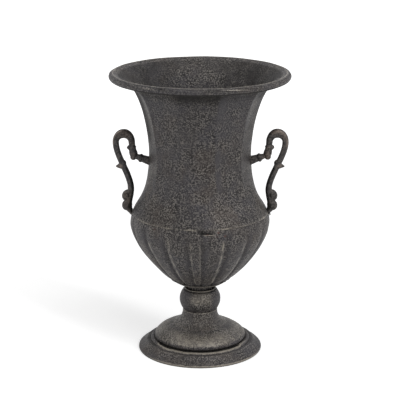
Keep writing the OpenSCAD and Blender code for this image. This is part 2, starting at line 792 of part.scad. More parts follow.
module screw_washer(back) {
    translate([0, 0, -back - screw_washer_t])
        difference() {
            cylinder(r = screw_washer_r, h = screw_washer_t, $fn = 48);
            translate([0, 0, -1]) cylinder(r = screw_r + hole_gap, h = screw_washer_t + 2, $fn = 32);
        }
}

module handle_screws_upper() color([0.5, 0.49, 0.46])
    both_sides() arm_screw_place() pan_screw(arm_back, arm_bite);

module handle_screws_lower() color([0.5, 0.49, 0.46])
    for (side = [-1, 1]) foot_screw_place(side) pan_screw(foot_back, foot_bite);

module handle_washers() color([0.55, 0.54, 0.5]) {
    both_sides() arm_screw_place() screw_washer(arm_back);
    for (side = [-1, 1]) foot_screw_place(side) screw_washer(foot_back);
}

rim_flare();
rim_wire();
neck_upper();
neck_lower();
bowl_shell();
bowl_dish();
bowl_spigot();
knop();
foot_flare();
foot_dome();
base_ring();
handle_left();
handle_right();
stem_bolt();
bowl_washer();
bowl_seal();
foot_washer();
stem_nut();
handle_screws_upper();
handle_screws_lower();
handle_washers();
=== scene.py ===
"""Studio scene of a pedestal urn: dark, rubbed sheet metal with two cast scroll handles.

Lengths are in millimetres and angles in degrees, unless a name says otherwise, and meshes are
scaled to metres as they are made. Angles round the urn are measured from the front, -Y, towards
+X. A profile is an array of rows of radius and height, followed up the outside of a wall.
"""

import logging
import math
from dataclasses import dataclass
from enum import Enum

import bpy
import numpy as np
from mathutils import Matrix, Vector

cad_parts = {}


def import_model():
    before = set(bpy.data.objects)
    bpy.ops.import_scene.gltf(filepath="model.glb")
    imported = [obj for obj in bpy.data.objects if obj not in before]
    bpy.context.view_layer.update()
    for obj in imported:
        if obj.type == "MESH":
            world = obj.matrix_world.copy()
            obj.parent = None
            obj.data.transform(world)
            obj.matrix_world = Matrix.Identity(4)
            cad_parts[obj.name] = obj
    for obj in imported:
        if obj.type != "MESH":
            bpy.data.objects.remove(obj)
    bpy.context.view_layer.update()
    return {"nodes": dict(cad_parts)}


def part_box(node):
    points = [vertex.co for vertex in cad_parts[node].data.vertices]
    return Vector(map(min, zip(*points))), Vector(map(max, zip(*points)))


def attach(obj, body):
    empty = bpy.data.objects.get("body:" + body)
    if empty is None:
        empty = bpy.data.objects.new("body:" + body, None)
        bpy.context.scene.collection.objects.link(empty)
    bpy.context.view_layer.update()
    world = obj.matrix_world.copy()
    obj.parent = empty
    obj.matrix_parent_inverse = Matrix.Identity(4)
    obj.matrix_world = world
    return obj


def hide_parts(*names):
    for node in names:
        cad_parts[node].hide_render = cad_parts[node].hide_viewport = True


LOG = logging.getLogger("urn")
Array = np.ndarray
Point = tuple[float, float]
MM = 0.001
FULL_TURN = 360.0
BODY = "root"
HOLE_R = 4.35  # the stem bolt's hole through dish, knop and foot
SLOT_HALF = 57.5  # half the turn of the base ring's open slot, whose middle is in front
FULLER = 1.1  # how far the skins of neck and bowl stand outside the solids
SEAM_DROP = 0.8  # how far the seam between them lies below the solids'
BEND_ROUNDS = 2  # how many times a bending is averaged with its neighbours
CROWDING = 0.75  # how much columns crowd towards folds and creases, 0 to 1
WALL_SAMPLES = 200  # places up a wall that its radius is read between
FLAT_ROWS = 8  # rows across the flat top or floor of a turned piece


class Mask(Enum):
    """Names of the point attributes that the finishes read, painted light and shade too."""

    # The wear mask holds rubbed crests, and painted light and highlights.
    WEAR = "wear"
    # The hollow mask holds painted shade and painted shadow.
    HOLLOW = "hollow"
    RUST = "rust"
    # The calm mask holds calm bluish paint and painted shade.
    CALM = "calm"


class Side(Enum):
    """The two sides that carry handles, as the sign of X."""

    LEFT = -1
    RIGHT = 1


# Curves and fields


def turn_xyz(radius: Array, angle: Array, height: Array) -> Array:
    """Points x = r sin a, y = -r cos a, z at a radius, an angle from the front and a height."""
    a = np.radians(angle)
    return np.stack(np.broadcast_arrays(radius * np.sin(a), -radius * np.cos(a), height), axis=-1)


def ramp(x: Array, start: float = 0.0, end: float = 1.0) -> Array:
    """The cubic 3c^2 - 2c^3 of c, x's share of the way from start to end, held in 0 to 1."""
    c = np.clip((x - start) / (end - start), 0.0, 1.0)
    return c * c * (3.0 - 2.0 * c)


def bump(x: Array, centre: float, half_width: float) -> Array:
    """A bell of height 1: exp of minus the square of the distance in half widths."""
    return np.exp(-(((x - centre) / half_width) ** 2))


def angle_apart(angle: Array, centre: float) -> Array:
    """Signed angle from a centre, between -180 and 180."""
    return (angle - centre + 180.0) % FULL_TURN - 180.0


def slot_share(angle: Array, blur: float) -> Array:
    """How open the base ring's slot is in a direction: 1 to 0 over a blur at its two ends."""
    return ramp(0.5 + (SLOT_HALF - np.abs(angle_apart(angle, 0.0))) / blur)


@dataclass(frozen=True)
class Curve:
    """A cubic curve through four handles, followed upwards on the outside of a wall."""

    handles: tuple[Point, ...]

    @classmethod
    def between(cls, start: Point, end: Point, *shares: Point) -> "Curve":
        """A curve whose inner handles lie at shares of the way across and up to its end.

        Args:
            start: where the curve starts, radius and height.
            end: where it ends.
            shares: shares of the way across and up, for each inner handle.

        Returns:
            The curve.
        """
        (r0, z0), (r1, z1) = start, end
        inner = [(r0 + across * (r1 - r0), z0 + up * (z1 - z0)) for across, up in shares]
        return cls((start, *inner, end))

    def at(self, t: Array) -> Array:
        """Points: the four handles weighted by the Bernstein cubics of t.

        Args:
            t: places along the curve, 0 to 1.

        Returns:
            The points, one a row.
        """
        t = np.atleast_1d(t)[:, None]
        s, p = 1 - t, np.array(self.handles)
        return s**3 * p[0] + 3 * s**2 * t * p[1] + 3 * s * t**2 * p[2] + t**3 * p[3]

    def beside(self, t: Array, distance: float) -> Array:
        """Points a distance to the right: the unit direction (dr, dz) turned to (dz, -dr).

        Args:
            t: places along the curve, 0 to 1.
            distance: how far to the right, or to the left where it is below 0.

        Returns:
            The points, one a row.
        """
        t = np.atleast_1d(t)[:, None]
        s, p = 1 - t, np.array(self.handles)
        d = s**2 * (p[1] - p[0]) + 2 * s * t * (p[2] - p[1]) + t**2 * (p[3] - p[2])
        d /= np.linalg.norm(d, axis=1, keepdims=True)
        return self.at(t[:, 0]) + distance * np.stack([d[:, 1], -d[:, 0]], axis=1)


@dataclass(frozen=True)
class Ripple:
    """The unevenness of hand-worked sheet: a sum of seeded sine waves in space."""

    height: float
    length: float
    seed: int
    waves: int = 20

    def at(self, points: Array) -> Array:
        """Heights at points: the mean of sines of each point's distance along random directions.

        Args:
            points: an array whose last axis is x, y, z.

        Returns:
            Heights, about as large as the ripple's height at most.
        """
        rng = np.random.default_rng(self.seed)
        directions = rng.normal(size=(self.waves, 3))
        directions /= np.linalg.norm(directions, axis=1, keepdims=True)
        lengths = self.length * rng.uniform(0.7, 1.6, self.waves)
        phases = rng.uniform(0.0, 2 * np.pi, self.waves)
        total = np.zeros(points.shape[:-1])
        for direction, length, phase in zip(directions, lengths, phases):
            total += np.sin(points @ direction * (2 * np.pi / length) + phase)
        return self.height * total / math.sqrt(2.0 * self.waves)


def unevenness(points: Array, *ripples: Ripple) -> Array:
    """The sum of some ripples at points."""
    return sum(ripple.at(points) for ripple in ripples)


def cluster(count: int) -> Array:
    """Places from -1 up to, but not at, 1 that crowd towards both, mixed from a line and a sine."""
    v = np.linspace(-1.0, 1.0, count, endpoint=False)
    return (1 - CROWDING) * v + CROWDING * np.sin(v * np.pi / 2)


def rows(*parts: Array) -> Array:
    """Stacks stretches of a section into one closed list of rows."""
    return np.concatenate([np.atleast_2d(p) for p in parts])


def fill_between(start: Point, end: Point, count: int) -> Array:
    """Points spaced evenly on the straight line between two points, without its ends."""
    t = np.linspace(0.0, 1.0, count + 2)[1:-1, None]
    return np.asarray(start) + t * (np.asarray(end) - np.asarray(start))


def arc(centre: Array, angle: Array, wide: Array | float, tall: Array | float) -> Array:
    """Points round a centre: a width times the angle's cosine, a height times its sine."""
    a = np.radians(np.atleast_1d(angle))
    return centre + np.stack([wide * np.cos(a), tall * np.sin(a)], axis=1)


def rounded(corners: list[Point | Array], radius: float, steps: int = 4) -> Array:
    """A path whose corners are rounded by a short parabola.

    Args:
        corners: the path's corners.
        radius: how far from each corner its rounding starts and ends, at most.
        steps: points in each rounding.

    Returns:
        The path's points, one a row, from the first corner to the last.
    """
    corners = np.asarray(corners, float)
    out = [corners[:1]]
    t = np.linspace(0.0, 1.0, steps)[:, None]
    for before, corner, after in zip(corners[:-2], corners[1:-1], corners[2:]):
        back, ahead = before - corner, after - corner
        lengths = np.linalg.norm(back), np.linalg.norm(ahead)
        reach = min(radius, 0.45 * min(lengths))
        a = corner + back / lengths[0] * reach
        b = corner + ahead / lengths[1] * reach
        out.append((1 - t) ** 2 * a + 2 * (1 - t) * t * corner + t**2 * b)
    return rows(*out, corners[-1:])


# Meshes


def link(name: str, data: bpy.types.ID) -> bpy.types.Object:
    """Puts a mesh, camera or light into the scene, as an object at the origin.

    Args:
        name: the object's name.
        data: what the object shows.

    Returns:
        The new object.
    """
    obj = bpy.data.objects.new(name, data)
    bpy.context.scene.collection.objects.link(obj)
    return obj


def mesh_object(name: str, points: Array, quads: Array) -> bpy.types.Object:
    """Makes a smooth mesh object at the origin.

    Args:
        name: the piece's name.
        points: corners in millimetres, one a row.
        quads: four corner numbers a row, counterclockwise seen from outside.

    Returns:
        The new object, linked to the scene.
    """
    mesh = bpy.data.meshes.new(name)
    mesh.vertices.add(len(points))
    mesh.vertices.foreach_set("co", (points * MM).astype(np.float32).ravel())
    mesh.loops.add(quads.size)
    mesh.loops.foreach_set("vertex_index", quads.astype(np.int32).ravel())
    mesh.polygons.add(len(quads))
    mesh.polygons.foreach_set("loop_start", np.arange(0, quads.size, 4, dtype=np.int32))
    mesh.update(calc_edges=True)
    mesh.validate()
    mesh.shade_smooth()
    return link(name, mesh)


def wrapped_skin(name: str, rings: Array) -> bpy.types.Object:
    """Joins rings of points into a skin that closes both ways: a thin wall turned round an axis.

    Args:
        name: the piece's name.
        rings: points as row, column, xyz. Rows follow the wall's section up its outside, and
            columns go round from the front towards +X.

    Returns:
        The new object: each quad joins a point to its next column and its next row.
    """
    index = np.arange(rings.shape[0] * rings.shape[1]).reshape(rings.shape[:2])
    right, up = np.roll(index, -1, axis=1), np.roll(index, -1, axis=0)
    quads = np.stack([index, right, np.roll(up, -1, axis=1), up], axis=-1).reshape(-1, 4)
    return mesh_object(name, rings.reshape(-1, 3), quads)


@dataclass(frozen=True)
class Swelling:
    """A broad low swelling on the left of a turned piece, round one distance from its axis."""

    size: float
    radius: float
    half_width: float = 11.0
    half_turn: float = 60.0

    def at(self, angle: Array, radius: Array) -> Array:
        """How far a point in a direction and at a distance from the axis is moved outwards."""
        aside = bump(angle_apart(angle, -90.0), 0.0, self.half_turn)
        return self.size * aside * bump(radius, self.radius, self.half_width)


def turned_skin(name: str, line: Array, columns: int, held: Array, *ripples: Ripple,
                swelling: Swelling | None = None) -> bpy.types.Object:
    """Turns a closed section round the axis and works it a little uneven.

    Args:
        name: the piece's name.
        line: the section's rows of radius and height.
        columns: directions round the axis.
        held: which rows stay true.
        ripples: unevenness of the rest, along the radius.
        swelling: a swelling on one side, if it has one.

    Returns:
        The new object: every ring is a circle of the row's radius, drawn in by the ripples.
    """
    angle = np.linspace(0.0, FULL_TURN, columns, endpoint=False)[None, :]
    radius, height = line[:, 0, None], line[:, 1, None]
    points = turn_xyz(radius, angle, height)
    free = np.where(held, 0.0, 1.0)[:, None]
    spread = radius + np.zeros_like(angle)
    for ripple in ripples:
        spread = spread + (ripple.at(points) - 0.6 * ripple.height) * free
    if swelling:
        spread = spread + swelling.at(angle, radius) * free
    return wrapped_skin(name, turn_xyz(spread, angle, height))


class Places:
    """Where a mesh's points lie: xyz and normal, x and z, radius r and turn from the front."""

    def __init__(self, xyz: Array, normal: Array) -> None:
        """Works out the radius, the square root of x^2 + y^2, and the turn, atan2(x, -y).

        Args:
            xyz: points in millimetres, one a row.
            normal: the surface's unit normals there.
        """
        self.xyz, self.normal = xyz, normal
        self.x, y, self.z = xyz.T
        self.r = np.hypot(self.x, y)
        self.turn = np.degrees(np.arctan2(self.x, -y))

    @classmethod
    def of(cls, mesh: bpy.types.Mesh) -> "Places":
        """Reads the points and their normals off a mesh.

        Args:
            mesh: the mesh.

        Returns:
            Where its points lie.
        """
        flat = np.empty((2, len(mesh.vertices) * 3), np.float32)
        mesh.vertices.foreach_get("co", flat[0])
        mesh.vertex_normals.foreach_get("vector", flat[1])
        xyz, normal = (values.reshape(-1, 3).astype(float) for values in flat)
        return cls(xyz / MM, normal)


def bending(mesh: bpy.types.Mesh, at: Places) -> Array:
    """How sharply the surface bends at each point.

    Args:
        mesh: a closed mesh.
        at: where its points lie.

    Returns:
        The mean over a point's edges of the normal's change along the edge over its length, per
        millimetre: above 0 on crests, below in hollows, 1 / r on a ball.
    """
    ends = np.empty(len(mesh.edges) * 2, np.int32)
    mesh.edges.foreach_get("vertices", ends)
    a, b = ends.reshape(-1, 2).T
    count = len(mesh.vertices)
    degree = np.bincount(a, minlength=count) + np.bincount(b, minlength=count)
    along, change = at.xyz[b] - at.xyz[a], at.normal[b] - at.normal[a]
    bend = (change * along).sum(axis=1) / np.maximum((along * along).sum(axis=1), 0.01)
    bend = np.clip(bend, -2.0, 2.0)
    value = (np.bincount(a, bend, count) + np.bincount(b, bend, count)) / degree
    for _ in range(BEND_ROUNDS):
        value = (np.bincount(a, value[b], count) + np.bincount(b, value[a], count)) / degree
    return value


# Shader graphs

Socket = bpy.types.NodeSocket
Value = float | Socket


class Graph:
    """Adds nodes to a node tree and wires them."""

    def __init__(self, tree: bpy.types.NodeTree) -> None:
        """Keeps the tree that the nodes go into."""
        self.tree = tree

    def add(self, kind: str, inputs: dict | None = None, **settings: object) -> bpy.types.Node:
        """Adds a node.

        Args:
            kind: the node's type, without its ShaderNode prefix.
            inputs: values or sockets for its inputs, by name or number.
            settings: properties of the node.

        Returns:
            The new node.
        """
        node = self.tree.nodes.new("ShaderNode" + kind)
        for name, value in settings.items():
            setattr(node, name, value)
        for name, value in (inputs or {}).items():
            self.plug(node.inputs[name], value)
        return node

    def plug(self, target: Socket, value: object) -> None:
        """Wires a socket to another, or sets its plain value.

        Args:
            target: the socket that is fed.
            value: a socket or a plain value.
        """
        if isinstance(value, bpy.types.NodeSocket):
            self.tree.links.new(value, target)
        else:
            target.default_value = value

    def math(self, operation: str, first: Value, *others: Value) -> Socket:
        """The result of Math nodes that take each value in turn to what came before.

        Args:
            operation: what every node does.
            first: the first value.
            others: the values taken to it in turn.

        Returns:
            The last node's result.
        """
        for other in others:
            first = self.add("Math", {0: first, 1: other}, operation=operation).outputs[0]
        return first

    def plus(self, *values: Value) -> Socket:
        """The sum of some values."""
        return self.math("ADD", *values)

    def times(self, *values: Value) -> Socket:
        """The product of some values."""
        return self.math("MULTIPLY", *values)

    def mix(self, factor: Value, a: object, b: object) -> Socket:
        """Colour a turned towards colour b by a factor."""
        return self.add("Mix", {"Factor": factor, 6: a, 7: b}, data_type="RGBA").outputs[2]

    def step(self, value: Value, low: float, high: float, to_low: float = 0.0,
             to_high: float = 1.0) -> Socket:
        """A smooth step from to_low to to_high, as a value goes from low to high.

        Args:
            value: what is stepped.
            low: where the step starts.
            high: where it ends, on either side of low.
            to_low: the result at low and before.
            to_high: the result at high and past it.

        Returns:
            The step's result.
        """
        names = {"Value": value, "From Min": low, "From Max": high, "To Min": to_low,
                 "To Max": to_high}
        return self.add("MapRange", names, interpolation_type="SMOOTHSTEP").outputs[0]

    def noise(self, place: Socket, scale: Value, detail: float = 2.0,
              roughness: float = 0.5) -> Socket:
        """Noise about 0.5, with features of about 1 / scale."""
        names = {"Vector": place, "Scale": scale, "Detail": detail, "Roughness": roughness}
        return self.add("TexNoise", names).outputs["Fac"]

    def mask(self, mask: Mask) -> Socket:
        """A mask stored on the piece's points."""
        return self.add("Attribute", attribute_name=mask.value).outputs["Fac"]

    def relief(self, height: Socket, strength: float, distance: float) -> Socket:
        """A normal tilted by a height."""
        names = {"Height": height, "Strength": strength, "Distance": distance}
        return self.add("Bump", names).outputs[0]

    def use(self, group: bpy.types.NodeTree, **inputs: object) -> dict[str, Socket]:
        """Places a node group and returns its outputs by name."""
        return {out.name: out for out in self.add("Group", inputs, node_tree=group).outputs}

    def backdrop(self) -> Socket:
        """A mask of 1 for rays from the camera and those that gloss and glass send on.

        Returns:
            The mask: the largest of the three kinds of ray.
        """
        rays = self.add("LightPath").outputs
        return self.math("MAXIMUM", *(rays[f"Is {kind} Ray"] for kind in
                                      ("Camera", "Glossy", "Transmission")))


def new_group(name: str, inputs: dict[str, str], outputs: dict[str, str]
              ) -> tuple[Graph, Socket, Socket]:
    """Makes an empty node group.

    Args:
        name: the group's name.
        inputs: names of its inputs and their socket types.
        outputs: names of its outputs and their socket types.

    Returns:
        The graph inside it, its input sockets and its output sockets.
    """
    tree = bpy.data.node_groups.new(name, "ShaderNodeTree")
    for way, sockets in (("INPUT", inputs), ("OUTPUT", outputs)):
        for label, kind in sockets.items():
            tree.interface.new_socket(label, in_out=way, socket_type="NodeSocket" + kind)
    given = tree.nodes.new("NodeGroupInput").outputs
    return Graph(tree), given, tree.nodes.new("NodeGroupOutput").inputs


def new_material(name: str) -> tuple[bpy.types.Material, Graph, Socket, Socket]:
    """Starts a material.

    Args:
        name: the material's name.

    Returns:
        The material, its graph, its shader's inputs and the Object coordinates.
    """
    made = bpy.data.materials.new(name)
    made.use_nodes = True
    g = Graph(made.node_tree)
    shader = made.node_tree.nodes["Principled BSDF"]
    return made, g, shader.inputs, g.add("TexCoord").outputs["Object"]


class Effects:
    """The node groups that several finishes share."""

    def __init__(self) -> None:
        """Builds each group once."""
        self.speckle = self._speckle()
        self.patina = self._patina()
        self.ageing = self._ageing()
        self.grain = self._grain()

    @staticmethod
    def _speckle() -> bpy.types.NodeTree:
        """Fine light and dark specks, thicker in some patches than in others.

        Returns:
            The group: one noise cut at a high and a low level, times a broader noise.
        """
        g, given, out = new_group(
            "Speckle", {"Vector": "Vector", "Fineness": "Float", "Light": "Float", "Dark": "Float"},
            {"Light": "Float", "Dark": "Float"})
        strength = g.step(g.noise(given["Vector"], 55.0, 3.0, 0.6), 0.36, 0.60, 0.42, 1.0)
        level = g.noise(given["Vector"], given["Fineness"], 1.0, 0.5)
        for shade, start, full in (("Light", 0.51, 0.59), ("Dark", 0.495, 0.42)):
            g.plug(out[shade], g.times(g.step(level, start, full), given[shade], strength))
        return g.tree

    @staticmethod
    def _patina() -> bpy.types.NodeTree:
        """Broad, soft patches of three colours.

        Returns:
            The group: the base colour turned to the cool and then the warm one by two
            noises.
        """
        g, given, out = new_group(
            "Patina", {"Vector": "Vector", "Base": "Color", "Cool": "Color", "Warm": "Color"},
            {"Color": "Color"})
        place = given["Vector"]
        cool = g.step(g.noise(place, 13.0, 3.0, 0.55), 0.42, 0.62)
        moved = g.add("VectorMath", {0: place, 1: (0.31, 0.17, 0.23)}, operation="ADD").outputs[0]
        warm = g.step(g.noise(moved, 19.0, 4.0, 0.6), 0.46, 0.68)
        cooled = g.mix(cool, given["Base"], given["Cool"])
        g.plug(out["Color"], g.mix(warm, cooled, given["Warm"]))
        return g.tree

    @staticmethod
    def _ageing() -> bpy.types.NodeTree:
        """Breaks the smooth masks of crests with painted light, of painted shade and of rust up
        into flaky ones.

        Returns:
            The group: each mask times a noise, cut by a smooth step.
        """
        masks = {"Wear": "Float", "Hollow": "Float", "Rust": "Float"}
        g, given, out = new_group("Ageing", {"Vector": "Vector"} | masks, masks)
        flakes = g.noise(given["Vector"], 330.0, 3.0, 0.6)
        blotch = g.noise(given["Vector"], 70.0, 2.0, 0.5)
        broken = g.plus(g.times(flakes, 0.6), g.times(blotch, 0.5))
        # Rubbed crests with painted light, painted shade and rust are each broken up by noise.
        for label, pattern, lift, start, full in (
                ("Wear", broken, 0.35, 0.2, 0.85), ("Hollow", blotch, 0.6, 0.05, 0.8),
                ("Rust", broken, 0.3, 0.25, 0.75)):
            g.plug(out[label], g.step(g.times(given[label], g.plus(pattern, lift)), start, full))
        return g.tree

    @staticmethod
    def _grain() -> bpy.types.NodeTree:
        """A height made of fine grit and of soft, larger pits.

        Returns:
            The group: a fine and a coarse noise, each times its strength, added.
        """
        g, given, out = new_group(
            "Grain", {"Vector": "Vector", "Grit": "Float", "Pits": "Float"}, {"Height": "Float"})
        grit = g.times(g.noise(given["Vector"], 620.0, 3.0, 0.6), given["Grit"])
        pits = g.times(g.noise(given["Vector"], 150.0, 3.0, 0.55), given["Pits"])
        g.plug(out["Height"], g.plus(grit, pits))
        return g.tree


# Finishes

Colour = tuple[float, float, float, float]


def colour(red: float, green: float, blue: float) -> Colour:
    """An opaque colour in linear light."""
    return red, green, blue, 1.0


@dataclass(frozen=True)
class RubbedFinish:
    """Dark painted metal rubbed to a fine pale speckle: rubbed crests, painted light and shade."""

    name: str
    base: Colour
    cool: Colour
    warm: Colour
    speck: Colour
    # The bare colour is laid on rubbed crests and as painted light and highlights, the dark colour
    # on dark specks and as painted shade, and the calm colour as calm bluish paint and as painted
    # shade.
    bare_and_lit: Colour
    dark: Colour = colour(0.008, 0.007, 0.006)
    rust: Colour = colour(0.066, 0.027, 0.020)
    calm: Colour = colour(0.058, 0.054, 0.059)
    fineness: float = 330.0
    light: float = 0.5
    shade: float = 0.5
    wear: float = 0.8
    whole: float = 0.35
    grit: float = 0.4
    pits: float = 0.6
    relief: float = 0.35
    metallic: float = 0.2
    rough: float = 0.6
    specular: float = 0.34
    polish: float = 12.0

    def material(self, effects: Effects) -> bpy.types.Material:
        """Builds the material.

        Args:
            effects: the shared node groups.

        Returns:
            The material: patina, then dark and light specks, calm paint that is partly painted
            shade, painted shade, rubbed crests with painted light, and rust over it. Crests show as
            specks until a high power of their rubbing fills them.
        """
        made, g, shader, place = new_material(self.name)
        speck = g.use(effects.speckle, Vector=place, Fineness=self.fineness, Light=self.light,
                      Dark=self.shade)
        aged = g.use(effects.ageing, Vector=place, Wear=g.mask(Mask.WEAR),
                     Hollow=g.mask(Mask.HOLLOW), Rust=g.mask(Mask.RUST))
        paint = g.use(effects.patina, Vector=place, Base=self.base, Cool=self.cool,
                      Warm=self.warm)["Color"]
        cloud = g.step(g.noise(place, 38.0, 3.0, 0.6), 0.36, 0.56, 0.1, 0.8)
        flecks = g.plus(g.times(speck["Light"], 1.0 - self.whole), self.whole)
        flecks = g.math("MAXIMUM", flecks, g.math("POWER", aged["Wear"], self.polish))
        # Painted shade is mixed in with the dark colour, and painted light and highlights with the
        # bare colour.
        for factor, over in (
                (speck["Dark"], self.dark), (speck["Light"], self.speck),
                (g.times(g.mask(Mask.CALM), cloud), self.calm),
                (g.times(aged["Hollow"], 0.85), self.dark),
                (g.times(aged["Wear"], self.wear, flecks), self.bare_and_lit),
                (g.times(aged["Rust"], 0.8), self.rust)):
            paint = g.mix(factor, paint, over)
        smoother = g.times(g.plus(speck["Light"], aged["Wear"]), 0.12)
        rough = g.math("SUBTRACT", g.plus(self.rough, g.times(aged["Hollow"], 0.25)), smoother)
        grain = g.use(effects.grain, Vector=place, Grit=self.grit, Pits=self.pits)["Height"]
        g.plug(shader["Base Color"], paint)
        g.plug(shader["Roughness"], rough)
        g.plug(shader["Normal"], g.relief(grain, self.relief, 0.0012))
        shader["Metallic"].default_value = self.metallic
        shader["Specular IOR Level"].default_value = self.specular
        return made


@dataclass(frozen=True)
class BareFinish:
    """Bare metal, as drawn wire or dull zinc: soft cloudy patches, fine lines and some grime."""

    name: str
    base: Colour
    cloud: Colour
    grime: Colour
    rough: float
    lines: float
    metallic: float = 0.9

    def material(self) -> bpy.types.Material:
        """Builds the material.

        Returns:
            The material: clouds by noise and cells, grime in patches, and fine lines as relief.
        """
        made, g, shader, place = new_material(self.name)
        cells = g.add("TexVoronoi", {"Vector": place, "Scale": 260.0}).outputs["Distance"]
        clouds = g.plus(g.times(cells, 0.5), g.noise(place, 90.0, 3.0))
        dirt = g.step(g.noise(place, 140.0, 4.0, 0.65), 0.5, 0.72)
        tone = g.mix(g.step(clouds, 0.35, 0.9), self.base, self.cloud)
        squeezed = g.add("Mapping", {"Vector": place, "Scale": (1.0, 1.0, 14.0)}).outputs[0]
        lines = g.times(g.noise(squeezed, 420.0, 2.0), self.lines)
        g.plug(shader["Base Color"], g.mix(g.times(dirt, 0.7), tone, self.grime))
        g.plug(shader["Roughness"], g.plus(self.rough, g.times(dirt, 0.3)))
        g.plug(shader["Normal"], g.relief(lines, 0.3, 0.0006))
        shader["Metallic"].default_value = self.metallic
        return made


@dataclass(frozen=True)
class RubberFinish:
    """Matt black rubber with a dusty bloom and a fine moulded grain."""

    name: str
    base: Colour
    bloom: Colour

    def material(self, effects: Effects) -> bpy.types.Material:
        """Builds the material.

        Args:
            effects: the shared node groups.

        Returns:
            The material: bloom in soft patches over the base, and grain as relief.
        """
        made, g, shader, place = new_material(self.name)
        dust = g.step(g.noise(place, 120.0, 4.0, 0.6), 0.42, 0.75)
        grain = g.use(effects.grain, Vector=place, Grit=0.5, Pits=0.2)["Height"]
        g.plug(shader["Base Color"], g.mix(dust, self.base, self.bloom))
        g.plug(shader["Roughness"], g.plus(0.62, g.times(dust, 0.25)))
        g.plug(shader["Normal"], g.relief(grain, 0.3, 0.0005))
        return made


IRON = RubbedFinish(
    name="rubbed_iron_sheet", base=colour(0.052, 0.047, 0.047), cool=colour(0.051, 0.048, 0.055),
    warm=colour(0.066, 0.054, 0.048), speck=colour(0.170, 0.156, 0.141),
    bare_and_lit=colour(0.30, 0.27, 0.225), fineness=470.0, light=0.9, shade=0.95)
CAST = RubbedFinish(
    name="rubbed_cast_iron", base=colour(0.050, 0.045, 0.044), cool=colour(0.045, 0.043, 0.046),
    warm=colour(0.070, 0.054, 0.046), speck=colour(0.15, 0.13, 0.11),
    bare_and_lit=colour(0.27, 0.215, 0.18), light=0.35, shade=0.6, wear=0.85, whole=0.75, metallic=0.3,
    rough=0.5, grit=0.5, pits=1.0, relief=0.6)
WIRE = BareFinish(
    name="drawn_wire", base=colour(0.32, 0.31, 0.30), cloud=colour(0.24, 0.23, 0.22),
    grime=colour(0.06, 0.045, 0.035), rough=0.38, lines=1.0)
ZINC = BareFinish(
    name="dull_zinc", base=colour(0.46, 0.45, 0.43), cloud=colour(0.34, 0.34, 0.34),
    grime=colour(0.10, 0.08, 0.06), rough=0.42, lines=0.3)
SEAL = RubberFinish(
    name="seal_rubber", base=colour(0.014, 0.014, 0.014), bloom=colour(0.05, 0.048, 0.045))


class Finishes:
    """The made materials, one for each material slot of the record."""

    def __init__(self) -> None:
        """Builds the shared effects and then each material."""
        effects = Effects()
        self.by_slot = {
            "iron_sheet": IRON.material(effects),
            "cast_handle": CAST.material(effects),
            "steel_wire": WIRE.material(),
            "zinc_steel": ZINC.material(),
            "seal_rubber": SEAL.material(effects),
        }

    def dress(self, obj: bpy.types.Object, slot: str) -> None:
        """Gives a piece the material of a slot, in place of all that it has."""
        obj.data.materials.clear()
        obj.data.materials.append(self.by_slot[slot])


# The pieces with skins of their own

Marks = dict[Mask, Array]


def top_of(node: str) -> float:
    """Height of a node's highest point."""
    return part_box(node)[1].z / MM


def foot_of(node: str) -> float:
    """Height of a node's lowest point."""
    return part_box(node)[0].z / MM


class Piece:
    """A piece of the urn: its name, material slot, the nodes that it stands for, and its ageing
    and painted light and shade.

    A crest starts to be rubbed at one bending and is fully rubbed at another, and painted
    shade darkens a dip alike.
    """

    name: str
    nodes: tuple[str, ...]
    slot: str = "iron_sheet"
    crest: Point = (0.05, 0.22)
    dip: Point = (0.05, 0.20)

    def skin(self) -> bpy.types.Object:
        """Builds the piece's closed skin."""
        raise NotImplementedError

    def marks(self, at: Places) -> Marks:
        """What use, painted light and painted shade have added to the masks at each point."""
        raise NotImplementedError

    def make(self, finishes: Finishes) -> None:
        """Builds the piece, stores its masks, dresses it and lets it stand for its nodes.

        The masks are smooth steps of the bending, rubbed crests and painted shade in dips, plus
        the piece's own marks.

        Args:
            finishes: the made materials.
        """
        obj = self.skin()
        at = Places.of(obj.data)
        added = {mask: np.zeros(len(at.r)) for mask in Mask} | self.marks(at)
        bend, hollow = bending(obj.data, at), added[Mask.HOLLOW]
        added[Mask.WEAR] = (added[Mask.WEAR] + ramp(bend, *self.crest)) * (
            1 - np.clip(hollow, 0.0, 1.0))
        # Painted shade in dips, by the bending, on top of the piece's own painted shade.
        added[Mask.HOLLOW] = ramp(-bend, *self.dip) + hollow
        for mask, values in added.items():
            layer = obj.data.attributes.new(mask.value, "FLOAT", "POINT")
            layer.data.foreach_set("value", np.clip(values, 0.0, 1.0).astype(np.float32))
        finishes.dress(obj, self.slot)
        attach(obj, BODY)
        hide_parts(*self.nodes)
        LOG.info("%s: %d points, stands for %s", obj.name, len(at.r), ", ".join(self.nodes))


